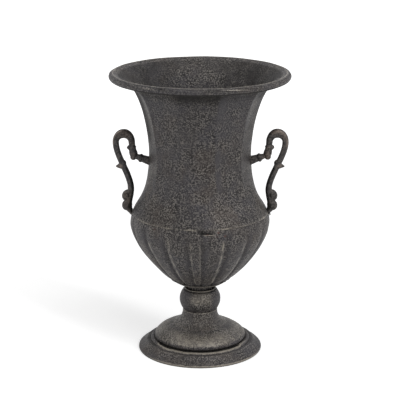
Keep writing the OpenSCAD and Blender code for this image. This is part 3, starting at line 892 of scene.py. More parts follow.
@dataclass
class Neck(Piece):
    """The neck of ten flat panels, which flares out to a rim curled round a wire."""

    name = "urn_neck"
    nodes = ("rim_flare", "neck_upper", "neck_lower")
    sheet: float = 1.5
    panels: int = 10
    shoulder_r: float = 107.5 + FULLER
    shoulder_in: float = 6.2
    shoulder_up: float = 20.0
    waist_r: float = 80.1 + FULLER
    waist_run: float = 70.0
    throat_run: float = 11.4
    flat_height: float = 110.0
    flat_end: float = 0.7
    rim_tilt: float = 18.0
    rim_sweep: float = 52.0
    rim_down: float = 0.62
    curl_end: float = -190.0
    wire_gap: float = 0.5
    fold_radius: float = 1.0
    skin_depth: float = 0.8
    dents: tuple[Ripple, ...] = (Ripple(0.22, 46.0, seed=3), Ripple(0.10, 15.0, seed=4))
    rim_wave: Ripple = Ripple(0.35, 55.0, seed=9)
    breaks: Ripple = Ripple(1.0, 26.0, seed=12)
    streaks: Ripple = Ripple(1.4, 26.0, seed=15)
    columns: int = 28
    low_rows: int = 46
    high_rows: int = 56
    curl_rows: int = 40
    inside_rows: int = 34

    def __post_init__(self) -> None:
        """Reads the heights of the seam, the waist and the rim's wire off the frame."""
        low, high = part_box("rim_wire")
        wire_r = (high.z - low.z) / 2 / MM
        self.bead_r = wire_r + self.sheet + self.wire_gap
        self.curl = np.array([high.x / MM - wire_r, (high.z + low.z) / 2 / MM - self.rim_down])
        self.seam_z, self.waist_z = foot_of("neck_lower") - SEAM_DROP, foot_of("neck_upper")
        self.turn, self.curl_start = FULL_TURN / self.panels, 90 + self.rim_tilt
        tilt = math.radians(self.rim_tilt)
        end = self.on_curl(self.bead_r - self.sheet, self.curl_start)[0]
        back = end - self.rim_sweep * np.array([math.cos(tilt), math.sin(tilt)])
        waist = (self.waist_r, self.waist_z)
        self.low = Curve(((self.shoulder_r, self.seam_z),
                          (self.shoulder_r - self.shoulder_in, self.seam_z + self.shoulder_up),
                          (self.waist_r, self.waist_z - self.waist_run), waist))
        self.high = Curve((waist, (self.waist_r, self.waist_z + self.throat_run), tuple(back),
                           tuple(end)))

    def on_curl(self, radius: Array | float, angle: Array | float) -> Array:
        """Points on a circle round the rim's wire, at angles up from its outermost point."""
        return arc(self.curl, angle, radius, radius)

    def flatness(self, height: Array) -> Array:
        """How flat the panels are at a height of the outer wall: 0 round, 1 flat.

        The flatness steps up from the seam, and down again over the last of the flare.

        Args:
            height: heights above the floor.

        Returns:
            The flatness: a step up times a step down.
        """
        fade_from = self.high.at(self.flat_end)[0, 1]
        rise = ramp(height, self.seam_z, self.seam_z + self.flat_height)
        return rise * ramp(height, self.curl[1] + 2.0, fade_from)

    def panel_share(self, angle: Array, flatness: Array, radius: Array) -> Array:
        """Share of the radius left in a direction by the flat panels.

        A panel's flat lies at cos(half its turn) / cos(angle off its middle). Next to a fold, this
        is blended with the neighbour's flat over a small radius, as bent sheet is.

        Args:
            angle: angles round the neck.
            flatness: how flat the panels are.
            radius: radius of the wall on a fold.

        Returns:
            The share, 1 on a round wall.
        """
        off = angle_apart(angle, 0.0)
        off = np.abs(off - self.turn * np.round(off / self.turn))
        near = math.cos(math.radians(self.turn / 2))
        own, other = near / np.cos(np.radians(off)), near / np.cos(np.radians(self.turn - off))
        soft = self.fold_radius / radius
        h = np.clip(0.5 + 0.5 * (other - own) / soft, 0.0, 1.0)
        flat = other * (1 - h) + own * h - soft * h * (1 - h)
        return 1 - flatness + flatness * flat

    def outer_radius(self, angle: Array, height: Array) -> Array:
        """Radius of the outer wall in a direction and at a height, without its unevenness.

        Args:
            angle: directions from the front.
            height: heights above the floor.

        Returns:
            The profile's radius at each height, times the panels' share.
        """
        t = np.linspace(0.0, 1.0, WALL_SAMPLES)
        line = rows(self.low.at(t), self.high.at(t)[1:])
        radius = np.interp(height, line[:, 1], line[:, 0])
        return radius * self.panel_share(angle, self.flatness(height), radius)

    def section(self) -> Array:
        """The wall's section, up the outside, round the curl and down the inside.

        Returns:
            Rows of radius, height, and the height that the panels' flatness is taken at.
        """
        start, end = self.curl_start, self.curl_end
        low_t = np.linspace(0.0, 1.0, self.low_rows) ** 0.9
        high_t = np.linspace(0.0, 1.0, self.high_rows)[1:]
        outside = rows(self.low.at(low_t), self.high.at(high_t))
        curl_in = self.on_curl(self.bead_r - self.sheet, np.linspace(start, end, 14)[1:])
        curl_edge = fill_between(curl_in[-1], self.on_curl(self.bead_r, end)[0], 2)
        turn = np.linspace(end, start, self.curl_rows)
        ridge = 0.55 * bump(turn, start - 8.0, 5.0) - 0.25 * bump(turn, start - 24.0, 9.0)
        curl = rows(curl_in, curl_edge, self.on_curl(self.bead_r + ridge, turn))
        down_t = np.linspace(1.0, 0.0, self.inside_rows)[1:]
        inside = rows(self.high.beside(down_t, -self.sheet),
                      self.low.beside(down_t[1:], -self.sheet))
        inside[-1, 1] = self.seam_z
        hem = fill_between(inside[-1], outside[0], 2) - np.array([0.0, 0.25])
        line = rows(outside, curl, inside, hem)
        flat_z = line[:, 1].copy()
        flat_z[len(outside):len(outside) + len(curl)] = self.curl[1] + 4.0
        return np.column_stack([line, flat_z])

    def skin(self) -> bpy.types.Object:
        """Turns the section round the axis, with each ring drawn in to the panels' flats.

        Returns:
            The new object.
        """
        radius, height, flat_z = (column[:, None] for column in self.section().T)
        half = self.turn / 2
        angle = np.concatenate([2 * half * k + half * cluster(self.columns)
                                for k in range(self.panels)])[None, :]
        spread = radius * self.panel_share(angle, self.flatness(flat_z), radius)
        points = turn_xyz(spread, angle, height)
        dents = unevenness(points, *self.dents)
        rim = ramp(height, self.curl[1] - 14.0, self.curl[1] - 4.0)
        free = ramp(height, self.seam_z, self.seam_z + 6.0)
        inward = -np.abs(dents) * rim + dents * (1 - rim)
        spread = spread + (inward - 0.12) * free
        wave = self.rim_wave.at(points) * rim
        return wrapped_skin(self.name, turn_xyz(spread, angle, height - np.abs(wave)))

    def calm_bands(self, angle: Array, height: Array) -> Array:
        """How calm and bluish the paint is, with painted shade on some panels: a soft band past
        each fold, and some panels as a whole.

        Each panel k has its own strengths, from squares of cosines of k. The panel right of the
        middle is calmer still above the waist.

        Args:
            angle: directions from the front.
            height: heights above the floor.

        Returns:
            The calmness, 0 on plain paint.
        """
        turn = self.turn
        past_fold = (angle - turn / 2 + 0.02 * (height - self.waist_z)) % turn
        panel = np.floor((angle - turn / 2) / turn)
        beside = 0.35 + 0.65 * np.cos(1.9 * panel) ** 2
        whole = 0.35 * np.cos(2.3 * panel + 1.0) ** 2
        band = ramp(past_fold, 0.0, 1.5) * ramp(past_fold, 12.0, 5.0)
        quiet = 0.5 * (panel == 0) * ramp(height, self.waist_z + 10.0, self.waist_z + 60.0)
        along = (ramp(height, self.seam_z + 38.0, self.seam_z + 63.0)
                 * ramp(height, self.curl[1] - 12.0, self.curl[1] - 24.0))
        return (np.maximum(band * beside, whole) + quiet) * along

    def bead(self, at: Places) -> tuple[Array, Array, Array]:
        """Where the curled bead is, how rubbed and lit by painted highlights it is, and how dark
        with painted shade, in slanting broken streaks.

        Args:
            at: where the neck's points lie.

        Returns:
            Whether each point is on the bead, and its rubbing with painted highlights, and its
            darkness with painted shade, there.
        """
        off_r, off_z = at.r - self.curl[0], at.z - self.curl[1]
        on_bead = np.hypot(off_r, off_z) < self.bead_r + 1.5
        turned, angle = np.degrees(np.arctan2(off_z, off_r)), at.turn
        # Painted highlights on the crest, strongest right and left of the front, in rubbed streaks;
        # a painted highlight line on the inner edge; painted shade in a band and on the underside.
        highlight_sections = bump(angle, 24.0, 15.0) + 0.8 * bump(angle, -25.0, 9.0)
        crest = bump(turned, 26.0, 38.0) * (0.35 + 0.65 * (highlight_sections + 0.35 * bump(angle, 0.0, 60.0)))
        slanted = np.column_stack([0.7 * angle, turned + 2.0 * angle, 0 * angle])
        streaks = ramp(self.streaks.at(slanted), -0.5, 0.5)
        wear = 0.9 * crest * streaks + 1.7 * bump(turned, 102.0, 9.0) - 0.35
        dark = (0.3 * bump(turned, 62.0, 14.0) + 0.45 * crest * (1 - streaks)
                + 1.1 * ramp(turned, -26.0, -46.0))
        return on_bead, on_bead * wear, on_bead * dark

    def marks(self, at: Places) -> Marks:
        """The worn seam and bead with painted highlights, painted shade under the rim, on the side
        panels, within and low in front, and the calm paint.

        Args:
            at: where the piece's points lie.

        Returns:
            What is added to each mask.
        """
        angle, z, top, seam = at.turn, at.z, self.curl[1], self.seam_z
        wall = self.outer_radius(angle, z) - self.skin_depth
        outside = (at.r > wall) & (z < top - self.bead_r)
        within = (at.r < wall) & (z < top + 3.0)
        broken = ramp(self.breaks.at(at.xyz), -0.1, 0.5)
        lip = bump(z, seam + 0.6, 1.1) * outside * (0.35 + 0.65 * broken)
        middle = ramp(np.abs(angle), 21.0, 14.0)
        # Painted shadow under the rim, deepest in the middle.
        rim_shadow = outside * ramp(z, top - 40.0, top - 12.0)
        # Painted shade on the side panels above the waist, more on the left.
        shaded = outside * ramp(z, self.waist_z - 10.0, self.waist_z + 50.0) * (
            0.62 * bump(angle, -82.0, 16.0) + 0.28 * bump(angle, 80.0, 18.0))
        # Painted shade within the neck, deeper towards both sides, and calm paint within at the
        # sides.
        sides = 0.22 * ramp(-at.x, 0.0, 90.0) + 0.26 * ramp(at.x, 0.0, 90.0)
        still = 0.65 * ramp(-at.x, 30.0, 80.0) + 0.35 * ramp(at.x, 40.0, 90.0)
        # Painted shade low on the neck, at and left of the middle.
        low = ramp(z, seam + 50.0, seam + 20.0) * ramp(angle, 20.0, 0.0) * outside
        on_bead, bead_wear, bead_dark = self.bead(at)
        return {
            Mask.WEAR: 2.0 * lip - bump(z, seam, 2.5) + bead_wear,
            # Painted shade: under the rim, on the side panels, within, on the bead and low in
            # front.
            Mask.HOLLOW: ((0.38 + 0.28 * middle) * rim_shadow + shaded + (0.22 + sides) * within
                          + bead_dark + 0.24 * low),
            Mask.CALM: self.calm_bands(angle, z) * outside + 0.55 * on_bead + within * still}


@dataclass
class Bowl(Piece):
    """The bowl of seventeen full gadroons and a half one, where the sheet's ends lap.

    Each rust spot has a turn, a distance below the neck's edge, and a half width.
    """

    name = "urn_bowl"
    nodes = ("bowl_shell",)
    dip = (0.15, 0.7)
    sheet: float = 1.5
    nest_gap: float = 0.3
    gadroons: int = 17
    joint_turn: float = 3.3
    crease_depth: float = 3.2
    crease_end: float = 1.3
    foot_r: float = 47.5
    hem_h: float = 3.6
    hem_out: float = 3.5
    hem_in: float = 0.6
    low_out: float = 15.8
    low_up: float = 9.2
    belly_out: float = 18.4
    belly_down: float = 32.8
    shoulder_r: float = 107.5 + FULLER
    scallop: float = 2.4
    crease_soft: float = 0.10
    pocket_turn: float = 3.4
    pocket_half: float = 5.0
    pocket_down: float = 4.9
    pocket_depth: float = 2.2
    corner_half: float = 4.8
    corner_down: float = 16.0
    dents: tuple[Ripple, ...] = (Ripple(0.28, 40.0, seed=21), Ripple(0.12, 13.0, seed=22))
    breaks: Ripple = Ripple(1.0, 14.0, seed=23)
    spots: tuple[tuple[float, float, float], ...] = (
        (17.0, 3.0, 1.9), (22.5, 9.5, 1.9), (8.0, 4.6, 2.0), (15.5, 9.0, 1.2), (-38.0, 4.0, 1.6))
    columns: int = 24
    side_rows: int = 64
    top_share: float = 0.86
    top_rows: int = 34
    inside_rows: int = 30

    def __post_init__(self) -> None:
        """Reads the bowl's lower and upper edges off the frame."""
        self.turn = FULL_TURN / (self.gadroons + 0.5)
        self.hem_z = foot_of("bowl_shell")
        self.top_z = foot_of("neck_lower") - SEAM_DROP - self.nest_gap
        foot = (self.foot_r + self.hem_out, self.hem_z + self.hem_h)
        edge = (self.shoulder_r - self.nest_gap, self.top_z)
        self.side = Curve((foot, (foot[0] + self.low_out, foot[1] + self.low_up),
                           (edge[0] + self.belly_out, edge[1] - self.belly_down), edge))

    def crease(self, t: Array) -> Array:
        """Depth of the creases along the side: from the end depth to the full one by a sine."""
        return self.crease_end + (self.crease_depth - self.crease_end) * np.sin(np.pi * t)

    def hollow_share(self, across: Array) -> Array:
        """Share of the crease's depth at a place across a gadroon: a cube, softened at 1."""
        v = np.abs(across)
        return v**3 - 1.5 * np.maximum(0.0, v - 1 + self.crease_soft) ** 2 / self.crease_soft

    def around(self) -> tuple[Array, Array]:
        """The directions sampled, and the place of each across its gadroon.

        Returns:
            Angles, and places from -1 to 1 that crowd towards the creases.
        """
        place, half = cluster(self.columns), cluster(self.columns // 2)
        angles = [self.joint_turn + (k + (place + 1) / 2) * self.turn for k in range(self.gadroons)]
        angles.append(self.joint_turn - self.turn / 2 + (half + 1) / 2 * self.turn / 2)
        return np.concatenate(angles), np.concatenate([place] * self.gadroons + [half])

    def place_across(self, angle: Array) -> Array:
        """Place across its gadroon of any direction round the bowl, -1 to 1."""
        k = ((angle - self.joint_turn) % FULL_TURN) / self.turn
        return np.where(k < self.gadroons, 2 * (k - np.floor(k)) - 1, 4 * (k - self.gadroons) - 1)

    def outer_radius(self, angle: Array, height: Array) -> Array:
        """Radius of the outer wall in a direction and at a height, without its unevenness.

        Args:
            angle: directions from the front.
            height: heights above the floor.

        Returns:
            The profile's radius at each height, less the crease's depth.
        """
        t = np.linspace(0.0, 1.0, WALL_SAMPLES)
        radii, heights = self.side.at(t).T
        inward = np.interp(height, heights, self.crease(t)) * self.hollow_share(
            self.place_across(angle))
        return np.interp(height, heights, radii) - inward

    def section(self) -> Array:
        """The wall's section, up the outside and down the inside.

        Returns:
            Rows of radius, height, crease depth, and share of the scallops' rise.
        """
        start, foot, edge = self.foot_r - self.hem_in, self.side.handles[0], self.side.handles[3]
        hem = Curve(((start, self.hem_z), (self.foot_r + 0.5 * self.hem_out, self.hem_z),
                     (self.foot_r + 0.86 * self.hem_out, self.hem_z + 0.45 * self.hem_h), foot))
        hem_line = hem.at(np.linspace(0.0, 1.0, 12)[:-1])
        t = np.concatenate([np.linspace(0.0, self.top_share, self.side_rows)[:-1],
                            np.linspace(self.top_share, 1.0, self.top_rows)])
        back_t = np.linspace(1.0, 0.0, self.inside_rows)
        tuck = [(edge[0] - 0.7, edge[1] + 0.15), (edge[0] - 1.9, edge[1] + 0.15)]
        base = hem_line[::-4] + self.sheet * np.array([-0.9, 0.55])
        base[-1] = (start - self.sheet, self.hem_z)
        line = rows(hem_line, self.side.at(t), tuck, self.side.beside(back_t, -self.sheet), base)
        depth = np.concatenate([np.full(len(hem_line), self.crease_end), self.crease(t),
                                [0.9, 0.5], self.crease(back_t),
                                np.full(len(base), self.crease_end)])
        rise = ramp(line[:, 1], self.hem_z + 2.4 * self.hem_h, self.hem_z)
        return np.column_stack([line, depth, rise])

    def pocket(self, angle: Array, height: Array) -> Array:
        """How deep the pocket beside the joint is, 0 to 1, under the neck's edge.

        The pocket deepens down from the edge and ends in a sharp step, and a shallower triangle
        hangs below it where the sheet's ends lap.

        Args:
            angle: directions from the front.
            height: heights above the floor.

        Returns:
            The share of the pocket's depth.
        """
        off = np.abs(angle_apart(angle, self.joint_turn + self.pocket_turn))
        along = ramp(off, self.pocket_half + 4.5, self.pocket_half)
        depth = self.top_z - height
        down = (ramp(depth / self.pocket_down, -0.25, 0.75)
                * ramp(depth, self.pocket_down + 1.3, self.pocket_down))
        beside = np.abs(angle_apart(angle, self.joint_turn - 0.2)) / self.corner_half
        corner = ramp(1.6 * (1 - beside - depth / self.corner_down))
        return np.maximum(along * down, 0.6 * corner)

    def gap(self, angle: Array, height: Array) -> Array:
        """The painted shadow in the gap along the pocket's lower step, 0 to 1, which thins out past
        the joint.

        Args:
            angle: directions from the front.
            height: heights above the floor.

        Returns:
            How dark the painted shadow is: a bell across it.
        """
        off = angle_apart(angle, self.joint_turn)
        along = ramp(off, -1.6, 0.0) * ramp(off, 10.5, 4.0)
        return along * bump(self.top_z - height, self.pocket_down - 0.7, 0.5 + 0.5 * along)

    def skin(self) -> bpy.types.Object:
        """Turns the section, bulging between the creases, with scallops at the lower ends.

        Returns:
            The new object.
        """
        radius, height, depth, rise = (column[:, None] for column in self.section().T)
        angle, place = self.around()
        angle, share_in = angle[None, :], self.hollow_share(place)[None, :]
        spread = radius - depth * share_in
        lift = height + self.scallop * rise * share_in**1.5
        points = turn_xyz(spread, angle, lift)
        fade = ramp(height, self.top_z, self.top_z - 10.0)
        dents = unevenness(points, *self.dents)
        spread = spread + (dents - 0.1) * fade - self.pocket_depth * self.pocket(angle, height)
        lap = angle_apart(angle, self.joint_turn)
        spread = spread + np.where(lap > 0, 0.25 * np.exp(-np.abs(lap) / 2.2), 0.0) * fade
        return wrapped_skin(self.name, turn_xyz(spread, angle, lift))

    def marks(self, at: Places) -> Marks:
        """Painted highlight and painted shade on the gadroons' flanks, painted light lower down,
        painted shade at the joint, hem and pocket, and the rust round it.

        Args:
            at: where the piece's points lie.

        Returns:
            What is added to each mask.
        """
        angle, z, top, hem_z = at.turn, at.z, self.top_z, self.hem_z
        place = self.place_across(angle)
        outward = np.where(angle < 0, -1.0, 1.0) * place
        down = ramp(z, top - 5.0, top - 30.0)
        # The broken strength of the painted highlight on each gadroon's outer flank.
        pale = 0.55 + 0.45 * self.breaks.at(at.xyz)
        spots = np.zeros(len(z))
        for turn, lower, size in self.spots:
            across = np.radians(angle_apart(angle, turn)) * self.shoulder_r
            spot = bump(across, 0.0, size) * bump(z, top - lower, 0.8 * size)
            spots = np.maximum(spots, spot)
        # The pocket holds a rust stain and painted shade; its gap is painted shadow.
        stain_and_shade, gap = ramp(1.6 * self.pocket(angle, z)), self.gap(angle, z)
        return {
            # Painted highlight on the outer flanks; painted light over the bowl, more lower down
            # and near the hem; less at the hem's edge and the seam.
            Mask.WEAR: (pale * bump(outward, 0.74, 0.10) * down + 0.12 + 0.2 * down
                        + 0.12 * ramp(z, hem_z + 34.0, hem_z + 14.0)
                        - ramp(z, hem_z + 6.0, hem_z + 2.0) - bump(z, top, 2.0)),
            # Painted shade in the creases, on the inner flanks, at the joint and hem, in the pocket
            # and its gap.
            Mask.HOLLOW: (0.15 * ramp(np.abs(place), 0.9, 1.0)
                          + 0.3 * bump(outward, -0.80, 0.2) * down
                          + 0.1 * bump(angle_apart(angle, self.joint_turn), 0.0, 0.9)
                          + 0.5 * ramp(z, hem_z + 4.0, hem_z + 1.0) + 0.28 * stain_and_shade + 2.0 * gap),
            Mask.RUST: (1.8 * spots + 0.2 * stain_and_shade) * (1 - np.clip(1.5 * gap, 0.0, 1.0)),
            # Calm paint with the painted shade on the inner flanks, and in the pocket.
            Mask.CALM: bump(outward, -0.7, 0.25) * (0.3 + 0.7 * down) + 0.2 * stain_and_shade + 0.12}


@dataclass
class Dish(Piece):
    """The spun dish that closes the bowl underneath, with a low ring round its floor."""

    name = "urn_dish"
    nodes = ("bowl_dish",)
    sheet: float = 2.0
    floor_r: float = 18.5
    edge_r: float = 46.5
    side_r: float = 44.0
    height: float = 12.5
    brim: float = 0.6
    collar_r: float = 44.0
    collar_h: float = 7.0
    dents: tuple[Ripple, ...] = (Ripple(0.15, 18.0, seed=31),)
    columns: int = 192
    rows_up: int = 36

    def __post_init__(self) -> None:
        """Reads the height of the dish's floor off the frame."""
        self.floor_z = foot_of("bowl_dish")
        self.top_z = self.floor_z + self.height

    def skin(self) -> bpy.types.Object:
        """Turns the floor, the curved side, the brim and the collar inside the bowl.

        Returns:
            The new object.
        """
        top, floor, hole = self.top_z, (self.floor_r, self.floor_z), (HOLE_R, self.floor_z)
        edge, lid = (self.side_r, top - self.brim - 0.1), (HOLE_R, self.floor_z + self.sheet)
        side = Curve.between(floor, edge, (0.30, 0.18), (1.0, 0.60))
        t = np.linspace(0.0, 1.0, self.rows_up)
        outer = side.at(t)
        outer[:, 1] += 0.18 * np.sin(9 * np.pi * t) * np.sin(np.pi * t)
        flat = fill_between(hole, floor, 14)
        flat[:, 1] += 0.3 * bump(flat[:, 0], self.floor_r - 4.0, 1.2)
        within, end = self.collar_r - self.sheet, top + self.collar_h
        collar = rounded([edge, (self.edge_r, top - self.brim), (self.edge_r, top),
                          (self.collar_r, top), (self.collar_r, end), (within, end),
                          (within, top + 0.5)], 0.25)[1:]
        inner = side.beside(np.linspace(0.97, 0.0, self.rows_up // 2), -self.sheet)
        line = rows(hole, flat, outer, collar, inner, fill_between(inner[-1], lid, FLAT_ROWS),
                    lid)
        return turned_skin(self.name, line, self.columns, line[:, 0] < self.floor_r - 1.0,
                           *self.dents)

    def marks(self, at: Places) -> Marks:
        """Rubbed and made lighter below as painted light, with painted shade round the stem and
        along the edge under the bowl's hem.

        Args:
            at: where the piece's points lie.

        Returns:
            What is added to each mask.
        """
        # Painted light: the underside below the brim is made lighter.
        below = ramp(at.z, self.top_z - 1.0, self.top_z - 4.0)
        edge_line = bump(at.z, self.top_z - 0.7, 0.8) * (at.r > self.collar_r - 2.5)
        # Painted shade round the stem, and a painted dark line at the edge under the bowl's hem.
        return {Mask.WEAR: 0.75 * below,
                Mask.HOLLOW: 1.4 * ramp(at.r, 31.5, 25.5) * below + 0.7 * edge_line}


@dataclass
class Knop(Piece):
    """The hollow ball between bowl and foot, with a rolled lip round its mouth."""

    name = "urn_knop"
    nodes = ("knop",)
    sheet: float = 2.0
    radius: float = 33.4
    half_height: float = 28.6
    mid_h: float = 16.6
    lip_h: float = 2.6
    lip_r: float = 1.1
    held_r: float = 20.0
    dents: tuple[Ripple, ...] = (Ripple(0.2, 22.0, seed=41), Ripple(0.08, 7.0, seed=42))
    columns: int = 208
    rows_up: int = 64

    def __post_init__(self) -> None:
        """Reads the knop's lowest and highest points off the frame."""
        self.low, self.high = foot_of("knop"), top_of("knop")
        self.mid_z, self.lip_z = self.low + self.mid_h, self.high - self.lip_h

    def radius_at(self, height: Array | float, inset: float) -> Array:
        """Radius of the ball at a height: an ellipse about the widest place."""
        up = (height - self.mid_z) / (self.half_height - inset)
        return (self.radius - inset) * np.sqrt(1 - up * up)

    def ball(self, start: float, end: float, count: int, inset: float) -> Array:
        """Points of the ball from one height to another."""
        z = np.linspace(start, end, count)
        return np.column_stack([self.radius_at(z, inset), z])

    def skin(self) -> bpy.types.Object:
        """Turns the floor, ball, groove and lip, and the ball's inside.

        Returns:
            The new object.
        """
        low, lip_z = self.low, self.lip_z
        ball = self.ball(low + 0.5, lip_z - 0.9, self.rows_up, 0.0)
        inner = self.ball(lip_z, low + self.sheet, self.rows_up // 2, self.sheet)
        mouth = self.radius_at(lip_z, 0.0)
        groove = [(mouth - 0.5, lip_z - 0.5), (mouth - 1.1, lip_z - 0.1),
                  (mouth - 0.6, lip_z + 0.35)]
        lip = arc(np.array([mouth - 1.9, lip_z + 1.35]), np.linspace(-35.0, 150.0, 16),
                  self.lip_r, self.lip_r)
        hole, turn, lid = (HOLE_R, low), (ball[0, 0] - 0.9, low), (HOLE_R, low + self.sheet)
        line = rows(hole, fill_between(hole, turn, FLAT_ROWS), turn, ball, groove, lip, inner,
                    fill_between(inner[-1], lid, FLAT_ROWS), lid)
        return turned_skin(self.name, line, self.columns, line[:, 0] < self.held_r,
                           *self.dents)

    def marks(self, at: Places) -> Marks:
        """Dust and painted light on the upper half, most of it in front, a painted highlight in
        front, and painted shade within, at the seat and on the calmer sides.

        Args:
            at: where the piece's points lie.

        Returns:
            What is added to each mask.
        """
        outside = at.r > self.radius_at(np.clip(at.z, self.low, self.high), 1.0)
        # Painted highlight on the upper front of the ball.
        front_highlight = (bump(at.z, self.mid_z + 6.0, 6.0) * outside
                 * bump(angle_apart(at.turn, -6.0), 0.0, 26.0))
        # The sides are calmer and darker: painted shade.
        aside = ramp(np.abs(angle_apart(at.turn, 6.0)), 22.0, 44.0)
        # Dust and painted light on the upper half, less on the sides.
        dust = ramp(at.z, self.mid_z - 12.0, self.mid_z + 4.0) * outside * (1 - 0.7 * aside)
        # Painted shade at the seat, where the ball meets the foot.
        seat = ramp(at.z, self.low + 1.4, self.low) * outside
        on_lip = ramp(at.z, self.lip_z - 0.5, self.lip_z + 0.1)
        return {Mask.WEAR: 0.2 * front_highlight + 0.66 * dust - seat - 0.5 * on_lip,
                # Painted shade within the ball and at its seat, and calm paint with painted shade
                # on the sides.
                Mask.HOLLOW: 0.15 * seat + np.where(outside, 0.0, 1.0),
                Mask.CALM: 0.9 * aside * outside}


@dataclass
class Foot(Piece):
    """The foot: a short flared neck that spreads into a low dome with a rolled edge."""

    name = "urn_foot"
    nodes = ("foot_flare", "foot_dome")
    sheet: float = 2.0
    neck_r: float = 28.2
    flare_h: float = 25.0
    flare_r: float = 43.0
    dome_r: float = 73.8
    edge_h: float = 3.5
    seat_r: float = 70.4
    seat_w: float = 2.0
    held_r: float = 24.0
    dents: tuple[Ripple, ...] = (Ripple(0.3, 34.0, seed=51), Ripple(0.1, 10.0, seed=52))
    swelling: Swelling = Swelling(4.0, 56.0)
    columns: int = 256
    rows_up: int = 40

    def __post_init__(self) -> None:
        """Reads the ledge that the dome stands on, and the foot's top, off the frame."""
        self.ledge, self.top = foot_of("foot_dome"), top_of("foot_flare")

    def skin(self) -> bpy.types.Object:
        """Turns the top, flare, dome, rolled edge and seat, and back up the inside.

        Returns:
            The new object.
        """
        ledge, top, seat_r = self.ledge, self.top, self.seat_r
        turn, edge = (self.flare_r, ledge + self.flare_h), (self.dome_r, ledge + self.edge_h)
        flare = Curve.between((self.neck_r, top), turn, (0.0, 0.46), (0.3, 0.79))
        dome = Curve.between(turn, edge, (0.42, 0.25), (1.055, 0.62))
        t = np.linspace(0.0, 1.0, self.rows_up)
        back_t = np.linspace(1.0, 0.0, self.rows_up // 2)[1:]
        under = rounded([edge, (self.dome_r - 0.4, edge[1] - 1.0),
                         (self.dome_r - 1.8, edge[1] - 1.4), (seat_r, ledge + 0.9),
                         (seat_r, ledge), (seat_r - self.seat_w, ledge),
                         (seat_r - self.seat_w, edge[1])], 0.5)[1:]
        start, hole = (self.neck_r - 1.6, top), (HOLE_R, top)
        inner, end = (self.neck_r - self.sheet, top - self.sheet), (HOLE_R, top - self.sheet)
        shoulder = rounded([start, (self.neck_r - 0.4, top), flare.at(0.05)[0]], 0.8)
        line = rows(hole, fill_between(hole, start, FLAT_ROWS), shoulder, flare.at(t)[3:],
                    dome.at(t)[1:], under, dome.beside(back_t, self.sheet),
                    flare.beside(back_t[:-1], self.sheet), inner,
                    fill_between(inner, end, FLAT_ROWS), end)[::-1]
        held = (line[:, 0] < self.held_r) | (line[:, 1] < ledge + 1.0)
        return turned_skin(self.name, line, self.columns, held, *self.dents,
                           swelling=self.swelling)

    def marks(self, at: Places) -> Marks:
        """Dust and painted light on dome and flare, painted shade at the seams, under the dome's
        edge, low on the dome and on the calmer sides, and a darker patch at the slot's left end.

        Args:
            at: where the piece's points lie.

        Returns:
            What is added to each mask.
        """
        r, z, ledge = at.r, at.z, self.ledge
        collar = bump(z, self.top, 2.5) * (r > self.neck_r - 3.0)
        above = z > ledge + 8.0
        # Dust and painted light on flare and dome, less on the round sides.
        on_flare = ramp(r, self.flare_r + 4.0, self.flare_r - 2.0) * above
        on_dome = (ramp(r, self.flare_r - 8.0, self.flare_r + 18.0)
                   * ramp(z, ledge + 6.0, ledge + 9.0))
        # Painted shadow under the dome's edge, over the open slot.
        dome_edge_shadow = (ramp(z, ledge + 2.1, ledge + 1.4) * (r > self.seat_r - 0.5)
                      * slot_share(at.turn, 3.0))
        # Painted shade low on the dome's edge, where it meets the ring.
        low_dome = bump(z, ledge + 3.5, 2.6) * (r > self.seat_r)
        # A darker patch at the slot's left end.
        dark_patch = bump(angle_apart(at.turn, 4.0 - SLOT_HALF), 0.0, 20.0) * bump(r, 70.0, 8.0)
        # The sides are calmer: painted shade.
        aside = ramp(np.abs(angle_apart(at.turn, 8.0)), 24.0, 48.0) * (1 - on_dome) * above
        round_side = ramp(np.abs(at.turn), 35.0, 65.0)
        return {
            Mask.WEAR: ((0.85 - 0.25 * round_side) * on_dome + 0.42 * on_flare
                        - 0.6 * (collar + low_dome)),
            Mask.HOLLOW: 0.1 * collar + 1.5 * dome_edge_shadow + 0.3 * low_dome + 0.25 * dark_patch,
            Mask.CALM: 0.45 * aside + 0.5 * low_dome}


